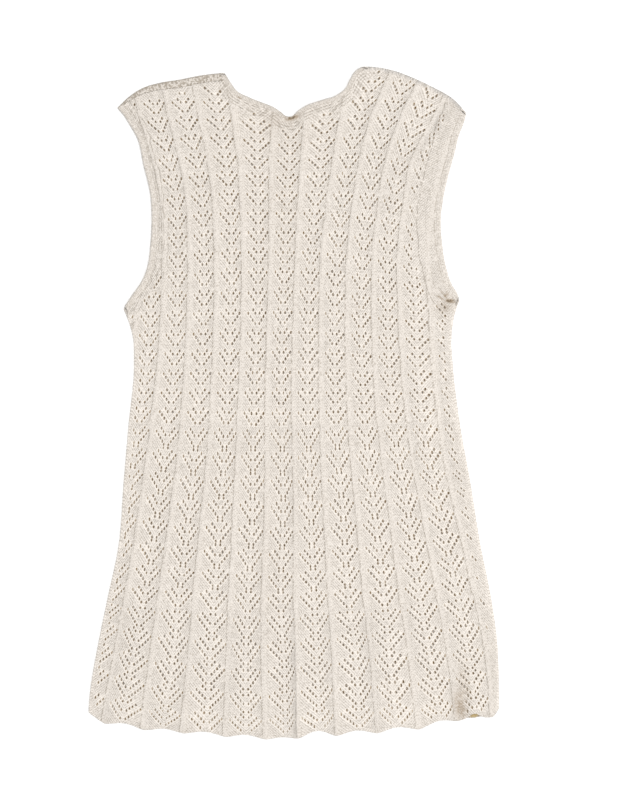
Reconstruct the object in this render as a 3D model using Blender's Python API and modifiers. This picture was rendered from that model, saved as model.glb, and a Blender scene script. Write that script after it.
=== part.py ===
"""Sleeveless A-line lace-knit dress, laid flat on a table with its two panels on each other.

Lengths in the tables are millimetres. +Y runs from the hem to the neck, +Z is up, and the origin
lies on the table, in the middle of the dress. The front panel is underneath, the back panel shows.
"""
import math

import bpy
import numpy as np

MM = 0.001

# Cloth
WALL = 2.0              # thickness of the knit
LAYER_GAP = 1.5         # hollow between the two panels
SEAM_GAP = 0.3          # between pieces that are sewn together
FRONT_LEVEL = WALL / 2                          # middle of the front panel's wall
BACK_LEVEL = WALL * 1.5 + LAYER_GAP             # middle of the back panel's wall
ROLL_RADIUS = (BACK_LEVEL - FRONT_LEVEL) / 2    # at the folded side and shoulder edges
EDGE_INSET = ROLL_RADIUS + WALL / 2             # where an edge starts to roll, inside the outline
ROLL_STEPS = 3                                  # faces round a quarter turn
SEAM_LIP = 0.5                                  # upright stretch of a rolled edge, down to its seam
FRONT_ROWS = 8                                  # rows of faces below the underarm
BACK_ROWS = 13

# Trims
ARMHOLE_TRIM = 10.0
NECK_TRIM = 6.0
TRIM_CROWN = 0.4        # the trims stand a little higher along their middle
TRIM_TURN = 0.15        # share of a trim's length over which it turns to lie on the fold at its end
ARMHOLE_POINTS = 13
NECK_POINTS = 60

# Relief of the back panel
PLEAT_HEIGHT = 0.8
DEEPEST = 1.1           # how far a crease may sink towards the front panel
RELIEF_MARGIN = 9.0     # the relief dies out over this width at the panel's edges
SCALLOP = 5.0           # rise of the hem between two ribs
FRONT_HEM_RAISE = 2.0   # the lower panel ends a little short of the upper one

# Strip of the front panel that turns over the left shoulder: its width from the tip to the neck
STRIP_AT_TIP = 1.5
STRIP_AT_NECK = 9.5
STRIP_WIDENS = 0.5      # over this share of the shoulder

# Side seams from the hem to the underarm: height, left edge, right edge
SIDES = (
    (-400, -256.5, 256.5),
    (-362, -254.0, 256.5),
    (-300, -243.5, 254.5),
    (-242, -231.5, 246.5),
    (-180, -218.5, 234.0),
    (-100, -212.0, 221.0),
    (-30, -206.0, 208.5),
    (48, -199.0, 199.0),
    (85, -201.0, 197.5),
    (118, -212.5, 203.5),
    (129, -218.0, 207.5),
)
UNDERARM = {"left": (-212.5, 118.0), "right": (207.5, 129.0)}

# Armhole edges from the underarm to the shoulder tip: height above it, how far inside it
ARMHOLES = {
    "left": ((0, 0), (20, 13.5), (32, 22), (48, 29), (80, 34), (112, 35.5), (140, 34), (180, 25),
             (212, 17.5), (228, 8.5), (240, 1), (250, -7.5)),
    "right": ((0, 0), (9, 4), (18, 9.5), (40, 17), (70, 22), (100, 23.7), (120, 21.5), (150, 15.5),
              (180, 7), (205, 1), (220, -5), (233, -8.5)),
}

# Shoulder folds from the tip to the neck point: x, y
SHOULDERS = {
    "left": ((-220, 368), (-204, 383), (-188, 393), (-166, 399.5), (-141, 403.5), (-116, 408.5), (-86, 412)),
    "right": ((216, 362), (199, 379.5), (171, 395.5), (146, 407), (127, 414), (109, 418), (87, 420)),
}

# Neckline edges from the left neck point to the right one: x, y
BACK_NECKLINE = ((-86, 412), (-79, 400.5), (-71, 389.5), (-54, 380.5), (-39, 374.5), (-26, 369.5), (-16, 363),
                 (-9, 357.5), (-2.5, 357), (5, 364), (13, 369.5), (36, 378), (52, 383), (65, 393), (70, 403),
                 (77, 414), (87, 420))
FRONT_NECKLINE = ((-86, 412), (-80, 392), (-70, 372), (-52, 353), (-30, 340), (-5, 334), (20, 338), (45, 352),
                  (63, 374), (74, 398), (87, 420))

# The ribs between the lace columns, left to right: x at each height, then the hem's height there
RIB_HEIGHTS = (400, 359, 300, 200, 120, -60, -247, -400)
RIBS = (
    (-202, -192.5, -172.5, -162, -162.5, -180, -207.5, -232.5, -400.5),
    (-162.5, -156, -141, -130.5, -131, -142.5, -167.5, -185, -408.5),
    (-120, -114, -105, -97.5, -97.5, -106, -124, -136, -412.5),
    (-76, -71, -67, -64, -64, -70, -80, -86, -417),
    (-15, -21, -28, -29.5, -31, -34, -39, -36, -420),
    (20, 14, 9.5, 4, 2, 0, 2, 4.5, -419),
    (69, 60, 49.5, 36, 35, 36, 46, 53, -416),
    (111, 99, 81, 68, 67.5, 72.5, 89, 104, -412.5),
    (149, 135, 115.5, 100, 99.5, 110, 135.5, 154.5, -407.5),
    (180, 167.5, 149, 132.5, 133, 147.5, 183, 203, -397),
    (209, 195, 175, 154, 171, 189, 235, 245, -392),
)
HEM_CORNERS = (-386.5, -382)

# How a lace column is divided between its ribs: share of its width, share of the pleat's height
NECK_SPLIT = 0.62
PLEAT = ((0.0, 0.0), (0.3, 1.0), (NECK_SPLIT, 0.7))
LEFT_CORNER = (3, NECK_SPLIT)           # the grid lines that end in the corners of the neck
RIGHT_CORNER = (7, NECK_SPLIT)

# The largest folds of the back panel: upper end x, y, lower end x, y, height, half width
FOLDS = (
    (213, -285, 211, -400, -1.1, 7),    # crease beside the arch at the hem
    (227, -300, 224, -400, 4.5, 9),     # arch that lifts the hem, lower right
    (-38, -170, -35, -400, 1.2, 9),     # soft ridges down the middle of the skirt
    (-14, -150, -20, -250, 1.4, 8),
    (1, -20, 0, -245, -0.9, 6),
    (122, 396, 104, 300, 1.5, 16),      # slack cloth under the right shoulder
    (186, 150, 196, 118, 1.2, 12),      # puckers at the right underarm
)
FOLD_FADE = 40.0        # a fold rises over this length from its upper end

COLOURS = {"panel": (0.80, 0.74, 0.66, 1), "trim": (0.84, 0.78, 0.70, 1)}
ROUGHNESS = 0.9


def smooth_curve(knots, values, at):
    """Values read from a smooth curve through a table (cubic pieces, slopes from the neighbours)."""
    knots = np.asarray(knots, float)
    values = np.asarray(values, float)
    at = np.clip(np.asarray(at, float), knots[0], knots[-1])
    slopes = np.gradient(values, knots)
    piece = np.clip(np.searchsorted(knots, at, side="right") - 1, 0, len(knots) - 2)
    length = knots[piece + 1] - knots[piece]
    t = (at - knots[piece]) / length
    return ((1 + 2 * t) * (1 - t) ** 2 * values[piece] + t * (1 - t) ** 2 * length * slopes[piece]
            + t * t * (3 - 2 * t) * values[piece + 1] + t * t * (t - 1) * length * slopes[piece + 1])


def smooth_step(t):
    t = np.clip(t, 0.0, 1.0)
    return t * t * (3 - 2 * t)


def unit(vector):
    return vector / np.linalg.norm(vector, axis=-1, keepdims=True)


def turned(vectors, sign):
    """Vectors turned by a right angle: to the left where the sign is +1, to the right where -1."""
    return np.column_stack([-vectors[:, 1], vectors[:, 0]]) * sign


def resample(points, count):
    """The same open path with evenly spaced points, rounded through its corners."""
    points = np.asarray(points, float)
    along = np.concatenate(([0.0], np.cumsum(np.linalg.norm(np.diff(points, axis=0), axis=1))))
    at = np.linspace(0.0, along[-1], count)
    return np.column_stack([smooth_curve(along, points[:, axis], at) for axis in (0, 1)])


def read_path(path, shares):
    """Points of a path at shares of its point count."""
    known = np.linspace(0.0, 1.0, len(path))
    return np.column_stack([np.interp(shares, known, path[:, axis]) for axis in (0, 1)])


# Outline

def inward_sign(side):
    return 1.0 if side == "left" else -1.0


def side_x(side, y):
    """Edge of the dress below the underarm, at a height."""
    heights = [row[0] for row in SIDES]
    edges = [row[1 if side == "left" else 2] for row in SIDES]
    return smooth_curve(heights, edges, y)


def armhole_path(side):
    """Outer edge of the armhole from the underarm up to the shoulder tip."""
    x, y = UNDERARM[side]
    points = [(x + inward_sign(side) * inside, y + height) for height, inside in ARMHOLES[side]]
    return resample(points, ARMHOLE_POINTS)


def side_direction(side):
    """Unit vector down the side seam, just below the underarm."""
    x, y = UNDERARM[side]
    below = y - 2 * ARMHOLE_TRIM
    return unit(np.array([float(side_x(side, below)) - x, below - y]))


def tip_direction(side):
    """Unit vector along the shoulder fold from its tip."""
    shoulder = np.array(SHOULDERS[side], float)
    return unit(shoulder[1] - shoulder[0])


def neck_direction(side):
    """Unit vector along the shoulder fold from the neck point."""
    shoulder = np.array(SHOULDERS[side], float)
    return unit(shoulder[-2] - shoulder[-1])


def outward(direction, place):
    """The normal of an outer edge that points away from the middle of the dress."""
    normal = np.array([-direction[1], direction[0]])
    return normal if np.dot(normal, place - np.array([0.0, 200.0])) > 0 else -normal


def band(path, width, start_across, end_across):
    """Inner edge of a band along a path, with both ends turned to lie on the folds there."""
    across = turned(unit(np.gradient(path, axis=0)), 1.0)
    if np.dot(across[len(path) // 2], start_across + end_across) < 0:
        across = -across
    t = np.linspace(0.0, 1.0, len(path))[:, None]
    at_start = smooth_step((TRIM_TURN - t) / TRIM_TURN)
    at_end = smooth_step((t - 1 + TRIM_TURN) / TRIM_TURN)
    across = across * (1 - at_start - at_end) + start_across * at_start + end_across * at_end
    return path + unit(across) * width


def armhole_band(side, width):
    """Outer and inner edge of an armhole trim, between its folds at underarm and shoulder tip."""
    path = armhole_path(side)
    down, along = side_direction(side), tip_direction(side)
    path[0] -= outward(down, path[0]) * EDGE_INSET
    path[-1] -= outward(along, path[-1]) * EDGE_INSET
    return path, band(path, width, down, along)


def neck_band(neckline, width):
    """Outer and inner edge of half the neck trim, between the two neck points."""
    path = resample(neckline, NECK_POINTS)
    left, right = neck_direction("left"), neck_direction("right")
    path[0] -= outward(left, path[0]) * EDGE_INSET
    path[-1] -= outward(right, path[-1]) * EDGE_INSET
    return path, band(path, width, left, right)


def rolled_in(path, side):
    """A folded edge moved in to where the cloth starts to roll."""
    return path - turned(unit(np.gradient(path, axis=0)), inward_sign(side)) * EDGE_INSET


def side_edge(side):
    """A panel's edge from the hem to the shoulder: the rolled side seam, then the line along the
    armhole trim. Gives the points, and the number of the first one at the trim."""
    _, trim = armhole_band(side, ARMHOLE_TRIM + SEAM_GAP)
    heights = np.linspace(SIDES[0][0], UNDERARM[side][1], 40)
    seam = rolled_in(np.column_stack([side_x(side, heights), heights]), side)
    seam = seam[seam[:, 1] < trim[0, 1] - 1.0]
    return np.vstack([seam, trim]), len(seam)


def strip_width(x):
    """Width of the strip over the left shoulder."""
    tip, neck = SHOULDERS["left"][0][0], SHOULDERS["left"][-1][0]
    share = (x - tip) / (neck - tip) / STRIP_WIDENS
    return STRIP_AT_TIP + (STRIP_AT_NECK - STRIP_AT_TIP) * float(smooth_step(share))


def shoulder_y(side, x):
    """Height of the shoulder fold, moved in to where it starts to roll."""
    path = rolled_in(resample(SHOULDERS[side], 24), side)
    order = np.argsort(path[:, 0])
    return float(np.interp(x, path[order, 0], path[order, 1]))


# Grid lines that follow the ribs

def grid_lines():
    """Every grid line of a panel, left to right: the column it lies in and its share of that."""
    first, last = 0, len(RIBS)
    lines = [(first, 0.0), (first, 0.5)]
    for column in range(1, last):
        lines += [(column, share) for share, _ in PLEAT]
    return lines + [(last, 0.0), (last, 0.5), (last, 1.0)]


def line_x(line, y, edges):
    """Where a grid line lies at a height, between its two ribs or a rib and the panel's edge."""
    column, share = line
    ends = []
    for rib, edge in ((column - 1, edges[0]), (column, edges[1])):
        if 0 <= rib < len(RIBS):
            ends.append(float(smooth_curve(RIB_HEIGHTS[::-1], RIBS[rib][-2::-1], y)))
        else:
            ends.append(float(np.interp(y, edge[:, 1], edge[:, 0])))
    return ends[0] + (ends[1] - ends[0]) * share


def neck_shares(neckline, lowered):
    """Where the grid lines meet the neck trim, as shares of its length. On the panel that ends at
    the seam of the left shoulder, the first line meets the trim below the strip."""
    _, inner = neck_band(neckline, NECK_TRIM)
    known = np.linspace(0.0, 1.0, len(inner))
    shares = []
    for line in grid_lines():
        if LEFT_CORNER <= line <= RIGHT_CORNER:
            y = float(np.median(inner[:, 1]))
            for _ in range(8):
                share = float(np.interp(line_x(line, y, (None, None)), inner[:, 0], known))
                y = float(np.interp(share, known, inner[:, 1]))
            shares.append(share)
    shares[0], shares[-1] = 0.0, 1.0
    if lowered:
        drop = inner[0, 1] - inner[: NECK_POINTS // 4, 1]
        shares[0] = float(np.interp(STRIP_AT_NECK + SEAM_GAP, drop, known[: NECK_POINTS // 4]))
    return shares


def hem_y(line):
    """Height of the scalloped hem on a grid line: low at the ribs, high between them."""
    column, share = line
    ends = [HEM_CORNERS[0]] + [row[-1] for row in RIBS] + [HEM_CORNERS[1]]
    level = ends[column] + (ends[column + 1] - ends[column]) * share
    whole = 0 < column < len(RIBS)
    return level + SCALLOP * math.sin(math.pi * share) * whole


def fold_height(x, y):
    """Ridges and creases of the back panel at a point."""
    total = 0.0
    for top_x, top_y, end_x, end_y, height, half_width in FOLDS:
        share = np.clip((top_y - y) / (top_y - end_y), 0.0, 1.0)
        across = (x - (top_x + (end_x - top_x) * share)) / half_width
        fade = min(FOLD_FADE, (top_y - end_y) / 2)
        below_top = smooth_step((top_y - y) / fade)
        above_end = 1.0 if end_y <= RIB_HEIGHTS[-1] else smooth_step((y - end_y) / fade)
        total += height * math.exp(-across * across) * float(below_top * above_end)
    return total


# Surfaces

class Grid:
    """Points in rows and columns, some of them missing, that become faces where four meet."""

    def __init__(self):
        self.points = {}

    def put(self, column, row, place, z):
        self.points[(column, row)] = (place[0] * MM, place[1] * MM, z * MM)

    def mesh(self, name):
        keys = sorted(self.points)
        index = {key: number for number, key in enumerate(keys)}
        faces = []
        for column, row in keys:
            corners = [(column, row), (column + 1, row), (column + 1, row + 1), (column, row + 1)]
            if all(corner in index for corner in corners):
                faces.append([index[corner] for corner in corners])
        mesh = bpy.data.meshes.new(name)
        mesh.from_pydata([self.points[key] for key in keys], [], faces)
        mesh.update()
        return mesh


def half_roll(base, normal, level, other):
    """Points round an edge that turns right over, from one level to the other."""
    middle = (level + other) / 2
    steps = 2 * ROLL_STEPS
    for step in range(1, steps + 1):
        angle = math.pi * step / steps
        yield base + normal * ROLL_RADIUS * math.sin(angle), middle + (level - middle) * math.cos(angle)


def quarter_roll(base, normal, level, other):
    """Points round an edge that turns upright, and on to a seam halfway between the levels."""
    toward = 1.0 if other > level else -1.0
    drop = ROLL_RADIUS - SEAM_LIP
    for step in range(1, ROLL_STEPS + 1):
        angle = math.pi / 2 * step / ROLL_STEPS
        yield base + normal * ROLL_RADIUS * math.sin(angle), level + toward * drop * (1 - math.cos(angle))
    yield base + normal * ROLL_RADIUS, level + toward * (ROLL_RADIUS - SEAM_GAP / 2)


def edge_normals(path, sign, first, last):
    """Outward normals of a folded edge, with those of the trims' folds at its ends."""
    normals = turned(unit(np.gradient(path, axis=0)), sign)
    if first is not None:
        normals[0] = outward(first, path[0])
    if last is not None:
        normals[-1] = outward(last, path[-1])
    return normals


def top_points(neckline, edges, lowered):
    """Where the grid lines end: on a shoulder fold, at the neck trim, or at the left shoulder's
    seam on the panel that stops there."""
    lines = grid_lines()
    _, neck = neck_band(neckline, NECK_TRIM + SEAM_GAP)
    neck_lines = [line for line in lines if LEFT_CORNER <= line <= RIGHT_CORNER]
    points = dict(zip(neck_lines, read_path(neck, neck_shares(neckline, lowered))))
    points[lines[-1]] = edges[1][-1]
    if not lowered:
        points[lines[0]] = edges[0][-1]
    for line in lines:
        if line not in points:
            side = "left" if line < LEFT_CORNER else "right"
            y = UNDERARM[side][1]
            for _ in range(8):
                x = line_x(line, y, edges)
                y = shoulder_y(side, x)
                if side == "left" and lowered:
                    y -= strip_width(x) + SEAM_GAP
            points[line] = np.array([line_x(line, y, edges), y])
    return [points[line] for line in lines]


def panel(neckline, rows_below, shows):
    """Surface of one panel: its flat part, its rolled side edges and its shoulder edges."""
    grid = Grid()
    lines = grid_lines()
    left, left_start = side_edge("left")
    right, right_start = side_edge("right")
    edges, trims = (left, right), (left[left_start:], right[right_start:])
    level, other = (BACK_LEVEL, FRONT_LEVEL) if shows else (FRONT_LEVEL, BACK_LEVEL)
    pleat = dict(PLEAT)
    seam = top_points(BACK_NECKLINE, edges, lowered=True)
    tops = seam if shows else top_points(neckline, edges, lowered=False)
    shares_up = []
    for trim, top in zip(trims, (tops[0], tops[-1])):
        share = (trim[:, 1] - trim[0, 1]) / (top[1] - trim[0, 1])
        share[-1] = 1.0
        shares_up.append(share)
    flat = {}
    for number, (line, top) in enumerate(zip(lines, tops)):
        across = number / (len(lines) - 1)
        bottom = hem_y(line) + (0.0 if shows else FRONT_HEM_RAISE)
        underarm = trims[0][0, 1] * (1 - across) + trims[1][0, 1] * across
        share_up = shares_up[0] * (1 - across) + shares_up[1] * across
        heights = np.concatenate([np.linspace(bottom, underarm, rows_below + 1)[:-1],
                                  underarm + (top[1] - underarm) * share_up])
        for row, y in enumerate(heights):
            place = np.array([line_x(line, y, edges), y])
            if row == len(heights) - 1:
                place = top
            z = level
            if shows:
                inside = min(place[0] - np.interp(y, left[:, 1], left[:, 0]),
                             np.interp(y, right[:, 1], right[:, 0]) - place[0], top[1] - y)
                lift = PLEAT_HEIGHT * pleat.get(line[1], 0.0) * (0 < line[0] < len(RIBS))
                calm = float(smooth_step(inside / RELIEF_MARGIN))
                z += max(lift + fold_height(place[0], y), -DEEPEST) * calm
            flat[(number, row)] = place
            grid.put(number, row, place, z)
    roll_sides(grid, flat, len(lines) - 1, rows_below, level, other)
    roll_shoulders(grid, flat, len(heights) - 1, level, other, None if shows else seam)
    return grid


def roll_sides(grid, flat, last, rows_below, level, other):
    """Side edges below the underarm, rolled to the seam halfway between the panels."""
    for side, start, step in (("left", 0, -1), ("right", last, 1)):
        path = np.array([flat[(start, row)] for row in range(rows_below + 1)])
        normals = edge_normals(path, inward_sign(side), None, side_direction(side))
        for row, base in enumerate(path):
            for count, (place, z) in enumerate(quarter_roll(base, normals[row], level, other), 1):
                grid.put(start + step * count, row, place, z)


def roll_shoulders(grid, flat, top_row, level, other, seam):
    """Shoulder edges, rolled to the seam halfway. Where a seam is given, on the other level, the
    left edge turns right over and goes on to it."""
    lines = grid_lines()
    for side in ("left", "right"):
        over = side == "left"
        if over and seam is None:
            continue
        numbers = [number for number, line in enumerate(lines)
                   if (line <= LEFT_CORNER if over else line >= RIGHT_CORNER)]
        path = np.array([flat[(number, top_row)] for number in numbers])
        ends = [tip_direction(side), neck_direction(side)]
        normals = edge_normals(path, 1.0, *(ends if over else ends[::-1]))
        roll = half_roll if over else quarter_roll
        for number, base, normal in zip(numbers, path, normals):
            row = top_row
            for place, z in roll(base, normal, level, other):
                row += 1
                grid.put(number, row, place, z)
            if over:
                grid.put(number, row + 1, seam[number] + unit(base - seam[number]) * SEAM_GAP, other)


# Trims

def fold_rings(outer, inner, end, down):
    """The half turn at one end of a trim, over a shoulder or round an underarm."""
    normal = outward(unit(inner[end] - outer[end]), outer[end])
    middle = (BACK_LEVEL + FRONT_LEVEL) / 2
    steps = 2 * ROLL_STEPS
    rings = []
    for step in range(1, steps):
        angle = math.pi * step / steps
        height = ROLL_RADIUS * math.cos(angle) * (1.0 if down else -1.0)
        shift = normal * ROLL_RADIUS * math.sin(angle)
        rings.append((outer[end] + shift, inner[end] + shift, middle + height, 0.0))
    return rings


def trim_loop(name, upper, lower):
    """A trim as one closed band: upper half, fold, lower half, fold. Each half is an outer and an
    inner edge, and both halves start and end on the same folds."""
    rings = [(outer, inner, BACK_LEVEL, TRIM_CROWN) for outer, inner in zip(*upper)]
    rings += fold_rings(*upper, end=-1, down=True)
    rings += [(outer, inner, FRONT_LEVEL, 0.0) for outer, inner in zip(lower[0][::-1], lower[1][::-1])]
    rings += fold_rings(*upper, end=0, down=False)
    vertices = []
    for outer, inner, z, crown in rings:
        for place, lift in ((outer, 0.0), ((outer + inner) / 2, crown), (inner, 0.0)):
            vertices.append((place[0] * MM, place[1] * MM, (z + lift) * MM))
    faces = []
    for ring in range(len(rings)):
        this, following = 3 * ring, 3 * ((ring + 1) % len(rings))
        for lane in (0, 1):
            faces.append([this + lane, this + lane + 1, following + lane + 1, following + lane])
    mesh = bpy.data.meshes.new(name)
    mesh.from_pydata(vertices, [], faces)
    mesh.update()
    return mesh


def neck_half(neckline, lowered):
    """Half the neck trim, cut at the panel's grid lines so that both follow the same corners."""
    shares = neck_shares(neckline, lowered)
    if lowered:
        shares = [0.0] + shares
    return [read_path(edge, shares) for edge in neck_band(neckline, NECK_TRIM)]


# Objects

def material(name, colour):
    cloth = bpy.data.materials.new(name)
    cloth.use_nodes = True
    shader = cloth.node_tree.nodes["Principled BSDF"]
    shader.inputs["Base Color"].default_value = colour
    shader.inputs["Roughness"].default_value = ROUGHNESS
    shader.inputs["Metallic"].default_value = 0.0
    return cloth


def add_piece(collection, name, mesh, colour):
    """An open surface becomes a wall of cloth."""
    piece = bpy.data.objects.new(name, mesh)
    collection.objects.link(piece)
    mesh.materials.append(material(name + "_knit", colour))
    mesh.shade_smooth()
    wall = piece.modifiers.new("wall", "SOLIDIFY")
    wall.thickness = WALL * MM
    wall.offset = 0.0
    wall.use_even_offset = True


def clear_scene():
    for item in list(bpy.data.objects):
        bpy.data.objects.remove(item, do_unlink=True)


def main():
    clear_scene()
    dress = bpy.data.collections.new("knit dress")
    bpy.context.scene.collection.children.link(dress)

    front = panel(FRONT_NECKLINE, FRONT_ROWS, shows=False)
    back = panel(BACK_NECKLINE, BACK_ROWS, shows=True)
    add_piece(dress, "front_panel", front.mesh("front_panel"), COLOURS["panel"])
    add_piece(dress, "back_panel", back.mesh("back_panel"), COLOURS["panel"])

    for side in ("left", "right"):
        half = armhole_band(side, ARMHOLE_TRIM)
        name = "armhole_trim_" + side
        add_piece(dress, name, trim_loop(name, half, half), COLOURS["trim"])

    upper = neck_half(BACK_NECKLINE, lowered=True)
    lower = neck_half(FRONT_NECKLINE, lowered=False)
    add_piece(dress, "neck_trim", trim_loop("neck_trim", upper, lower), COLOURS["trim"])


main()
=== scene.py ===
"""Looks of a sleeveless lace-knit dress that lies flat on a table, seen from straight above.

The tables hold millimetres in the frame's own axes: +Y from the hem to the neck, +Z up. The cloth
has coordinates of its own. Ten whole lace columns lie between eleven ribs, and the sides cut the
columns beyond them. A place in a column is given by its stitch, counted from the column's centre,
and by its motif, counted from the neck down. Each motif is a chevron of openings, and it has as
many lace rows as the column has stitches to each side of its centre: six on the bodice, seven and
then eight on the skirt.
"""
import math

import bpy
import numpy as np
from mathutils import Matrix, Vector


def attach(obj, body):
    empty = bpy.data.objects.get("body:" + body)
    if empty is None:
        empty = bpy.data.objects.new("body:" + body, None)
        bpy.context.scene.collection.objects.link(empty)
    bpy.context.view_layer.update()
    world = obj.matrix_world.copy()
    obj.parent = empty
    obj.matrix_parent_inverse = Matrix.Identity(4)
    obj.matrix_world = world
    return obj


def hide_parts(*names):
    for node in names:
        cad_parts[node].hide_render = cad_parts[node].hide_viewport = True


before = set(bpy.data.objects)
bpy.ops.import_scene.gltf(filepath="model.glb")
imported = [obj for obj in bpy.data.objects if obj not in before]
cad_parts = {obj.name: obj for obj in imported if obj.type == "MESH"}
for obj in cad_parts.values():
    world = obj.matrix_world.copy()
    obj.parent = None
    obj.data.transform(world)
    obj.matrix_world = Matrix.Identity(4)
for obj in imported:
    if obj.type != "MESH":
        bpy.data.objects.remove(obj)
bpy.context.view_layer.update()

MM = 0.001

# Levels of the cloth above the table
BACK_LEVEL = 5.0            # the visible side of the upper panel
FRONT_LEVEL = 0.9           # the lower panel, which faces the table
SEAM_LEVEL = 2.75           # where the two panels meet at the sides
SEAM_GAP = 0.15             # half the distance between their edges
EDGE_ROUND = 2.6            # width over which a folded edge turns down
EDGE_STEPS = 4
# How the other edges go on from the flat cloth: distance outward, drop
UNDER_TRIM = ((0.4, 0.1), (0.8, 0.3), (1.2, 0.6), (1.6, 0.9))
EDGE_PROFILES = {
    "hem": ((0.5, 0.1), (0.8, 0.5), (0.8, 1.1), (0.3, 1.7)),
    "armhole": UNDER_TRIM,
    "neck": UNDER_TRIM,
    "seam": ((0.15, 0.2), (0.25, 0.5), (0.3, 0.9), (0.2, 1.3)),
}
TUCK = 1.2                  # how far a panel runs under a trim
HEM_INSET = 0.8             # how far inside the outline the flat cloth ends at the hem
SEAM_INSET = 0.3            # and at the seam of the shoulder strip
FLAT_MARGIN = 9.0           # relief dies out over this width at the edges
HEM_MARGIN = 2.0            # the lower panel's hem is this much higher
# Places of some edges in outline()
RIGHT_ARMHOLE, NECK, LEFT_ARMHOLE, LEFT_SIDE = 2, 4, 6, 7

# Lace: openings lie on nested chevrons, CHEVRON_STEP rows apart. For each number of rows in a
# motif, how many openings each arm has, from the outermost chevron in.
CHEVRON_STEP = 3
ARMS = {6: (4, 2), 7: (5, 3, 1), 8: (6, 4, 2)}
ZONE_ENDS = {6: 17, 7: 25, 8: 31}       # where the motifs with that number of rows end
FIRST_MOTIF = -2
HEM_MOTIF = 30                          # the last motif that the hem leaves
STRETCH = {6: 0.0, 7: 0.02, 8: 0.1}     # stitches are this much wider at the middle of a column
# For each number of rows: half width of an opening in stitches, and its slant in stitches per
# knitted row at the inner and at the outer end of an arm
OPENING_FORMS = {6: (0.165, 0.15, 0.34), 7: (0.18, 0.1, 0.32), 8: (0.2, 0.06, 0.26)}
OPENING_HEIGHT = 0.96                   # half height, in knitted rows
OPENING_SHIFT = 0.04                    # spread of their shift to a side, in stitches
DROP_POINTS = 8                         # round an opening: the faces about it need eight
DROP_TAPER = 0.3                        # an opening is wider below by this share, narrower above
# Share of the width that the outermost openings have, in the left arms and in the right ones
OUTERMOST_WIDTHS = {6: (0.6, 1.0), 7: (0.6, 1.0), 8: (0.4, 0.5)}
INNERMOST_HEIGHT = 0.8                  # share of the height that the pairs at the centre line have
OPENING_LIP = 0.9                       # how far the edge of an opening turns down
# How dark the painted shade in an opening is; it also sets how far its lip sinks
OPENING_DARKNESS = (0.85, 0.3)          # mean and spread of how far the light is kept out
DARKNESS_LIMITS = (0.35, 1.2)
SPREAD = 0.17                           # how much the openings differ
# How far the openings are pulled open at each height: less at the hem and at the top of the skirt
OPENNESS_HEIGHTS = (-400, -378, -350, -160, -110, -40, 0, 400)
OPENNESS = (0.6, 0.75, 1.0, 1.04, 0.95, 0.88, 1.1, 1.12)
CLOSING_WIDTH = 45.0                    # less, too, within this width along the left side
CLOSING = 0.7                           # down to this share at the edge
SEED = 7
# No opening lies closer than this to the edges, in the order of outline()
OPENING_MARGINS = (5, 11, 12, 6, 17, 6, 7, 5)
# Nor closer than this to the armholes: height, distance
ARMHOLE_MARGINS = {
    RIGHT_ARMHOLE: ((100, 12), (128, 26), (145, 38), (300, 35), (350, 24)),
    LEFT_ARMHOLE: ((125, 7), (135, 16), (400, 16)),
}
# Closed up by a fold
CLOSED_SPOT = {"x": 206.0, "y": -383.0, "half_width": 8.0, "half_height": 28.0}
SNAP = 0.55                 # points this close to the outline move onto it

# Ribs between the lace columns, left to right: x at each height
RIB_HEIGHTS = (400, 359, 300, 247, 200, 120, 24, -60, -147, -200, -247, -315, -400)
RIBS = (
    (-200, -189, -172.5, -162, -160, -161.5, -169, -179, -192, -200.5, -208.5, -221, -235.5),
    (-162.5, -153, -139, -130.5, -128.5, -129, -134, -141, -152.5, -160, -166.5, -175.5, -186),
    (-122.5, -114.5, -103.5, -97.5, -95.5, -95.5, -98.5, -104, -113, -118, -122.5, -128.5, -137),
    (-78, -73, -65.5, -63, -61.5, -61.5, -64, -68, -72.5, -75, -77.5, -80, -84),
    (-14, -20.5, -26, -26.5, -27, -29, -30.5, -31.5, -33, -35, -36.5, -36.5, -34.5),
    (23, 17.5, 12.5, 9, 6.5, 4, 2, 2, 3.5, 3.5, 4, 4.5, 5.5),
    (72, 63, 52, 44.5, 38, 36.5, 36.5, 37.5, 42, 45, 47, 51, 54),
    (118.5, 100, 85, 77, 70.5, 69, 70.5, 74.5, 82.5, 87.5, 91.5, 98, 105),
    (158, 137, 117, 109, 102.5, 101.5, 105, 112.5, 124.5, 131, 137.5, 147.5, 157),
    (198, 181, 149, 141, 134, 134.5, 140.5, 150, 165.5, 176, 184, 196, 205),
    (246, 212, 187, 176, 169, 173, 181, 190.5, 208.5, 220.5, 230, 243, 249),
)
COLUMNS = range(-1, len(RIBS) + 2)      # 1 to 10 are whole, the outer ones are cut by the sides
# Centre lines of the whole columns, at the same heights
CENTRES = (
    (-175, -169.5, -153, -144, -143, -144, -149.5, -158.5, -169.5, -177, -185.5, -199, -213),
    (-140, -133.5, -119, -112.5, -110.5, -110.5, -115, -121.5, -130, -136.5, -142.5, -149, -161),
    (-99.5, -93, -83, -78, -76, -77, -80.5, -85, -91, -94.5, -98, -103, -107.5),
    (-42, -43.5, -44, -43, -42.5, -43.5, -47.5, -49.5, -50.5, -53, -55.5, -58.5, -58),
    (2, -0.5, -4, -7.5, -8.5, -12, -14.5, -13, -12, -14, -15, -11, -9),
    (48, 42.5, 35.5, 28.5, 25, 20, 18.5, 20.5, 23, 25, 27, 30, 34),
    (99, 85, 70.5, 62, 57.5, 52.5, 53, 56, 63.5, 66.5, 70, 78.5, 83.5),
    (140, 122.5, 103, 94.5, 89, 85.5, 87.5, 93.5, 103.5, 109.5, 114.5, 120.5, 129.5),
    (183, 159.5, 135, 124.5, 119.5, 118.5, 122, 130.5, 145.5, 152.5, 159, 171, 184.5),
    (226, 194, 168, 158.5, 151.5, 154, 157.5, 167.5, 186, 197, 207, 219, 229),
)
LACE_SHIFT = -1.0           # moves all the lace to the right of these lines, or left where negative
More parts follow.
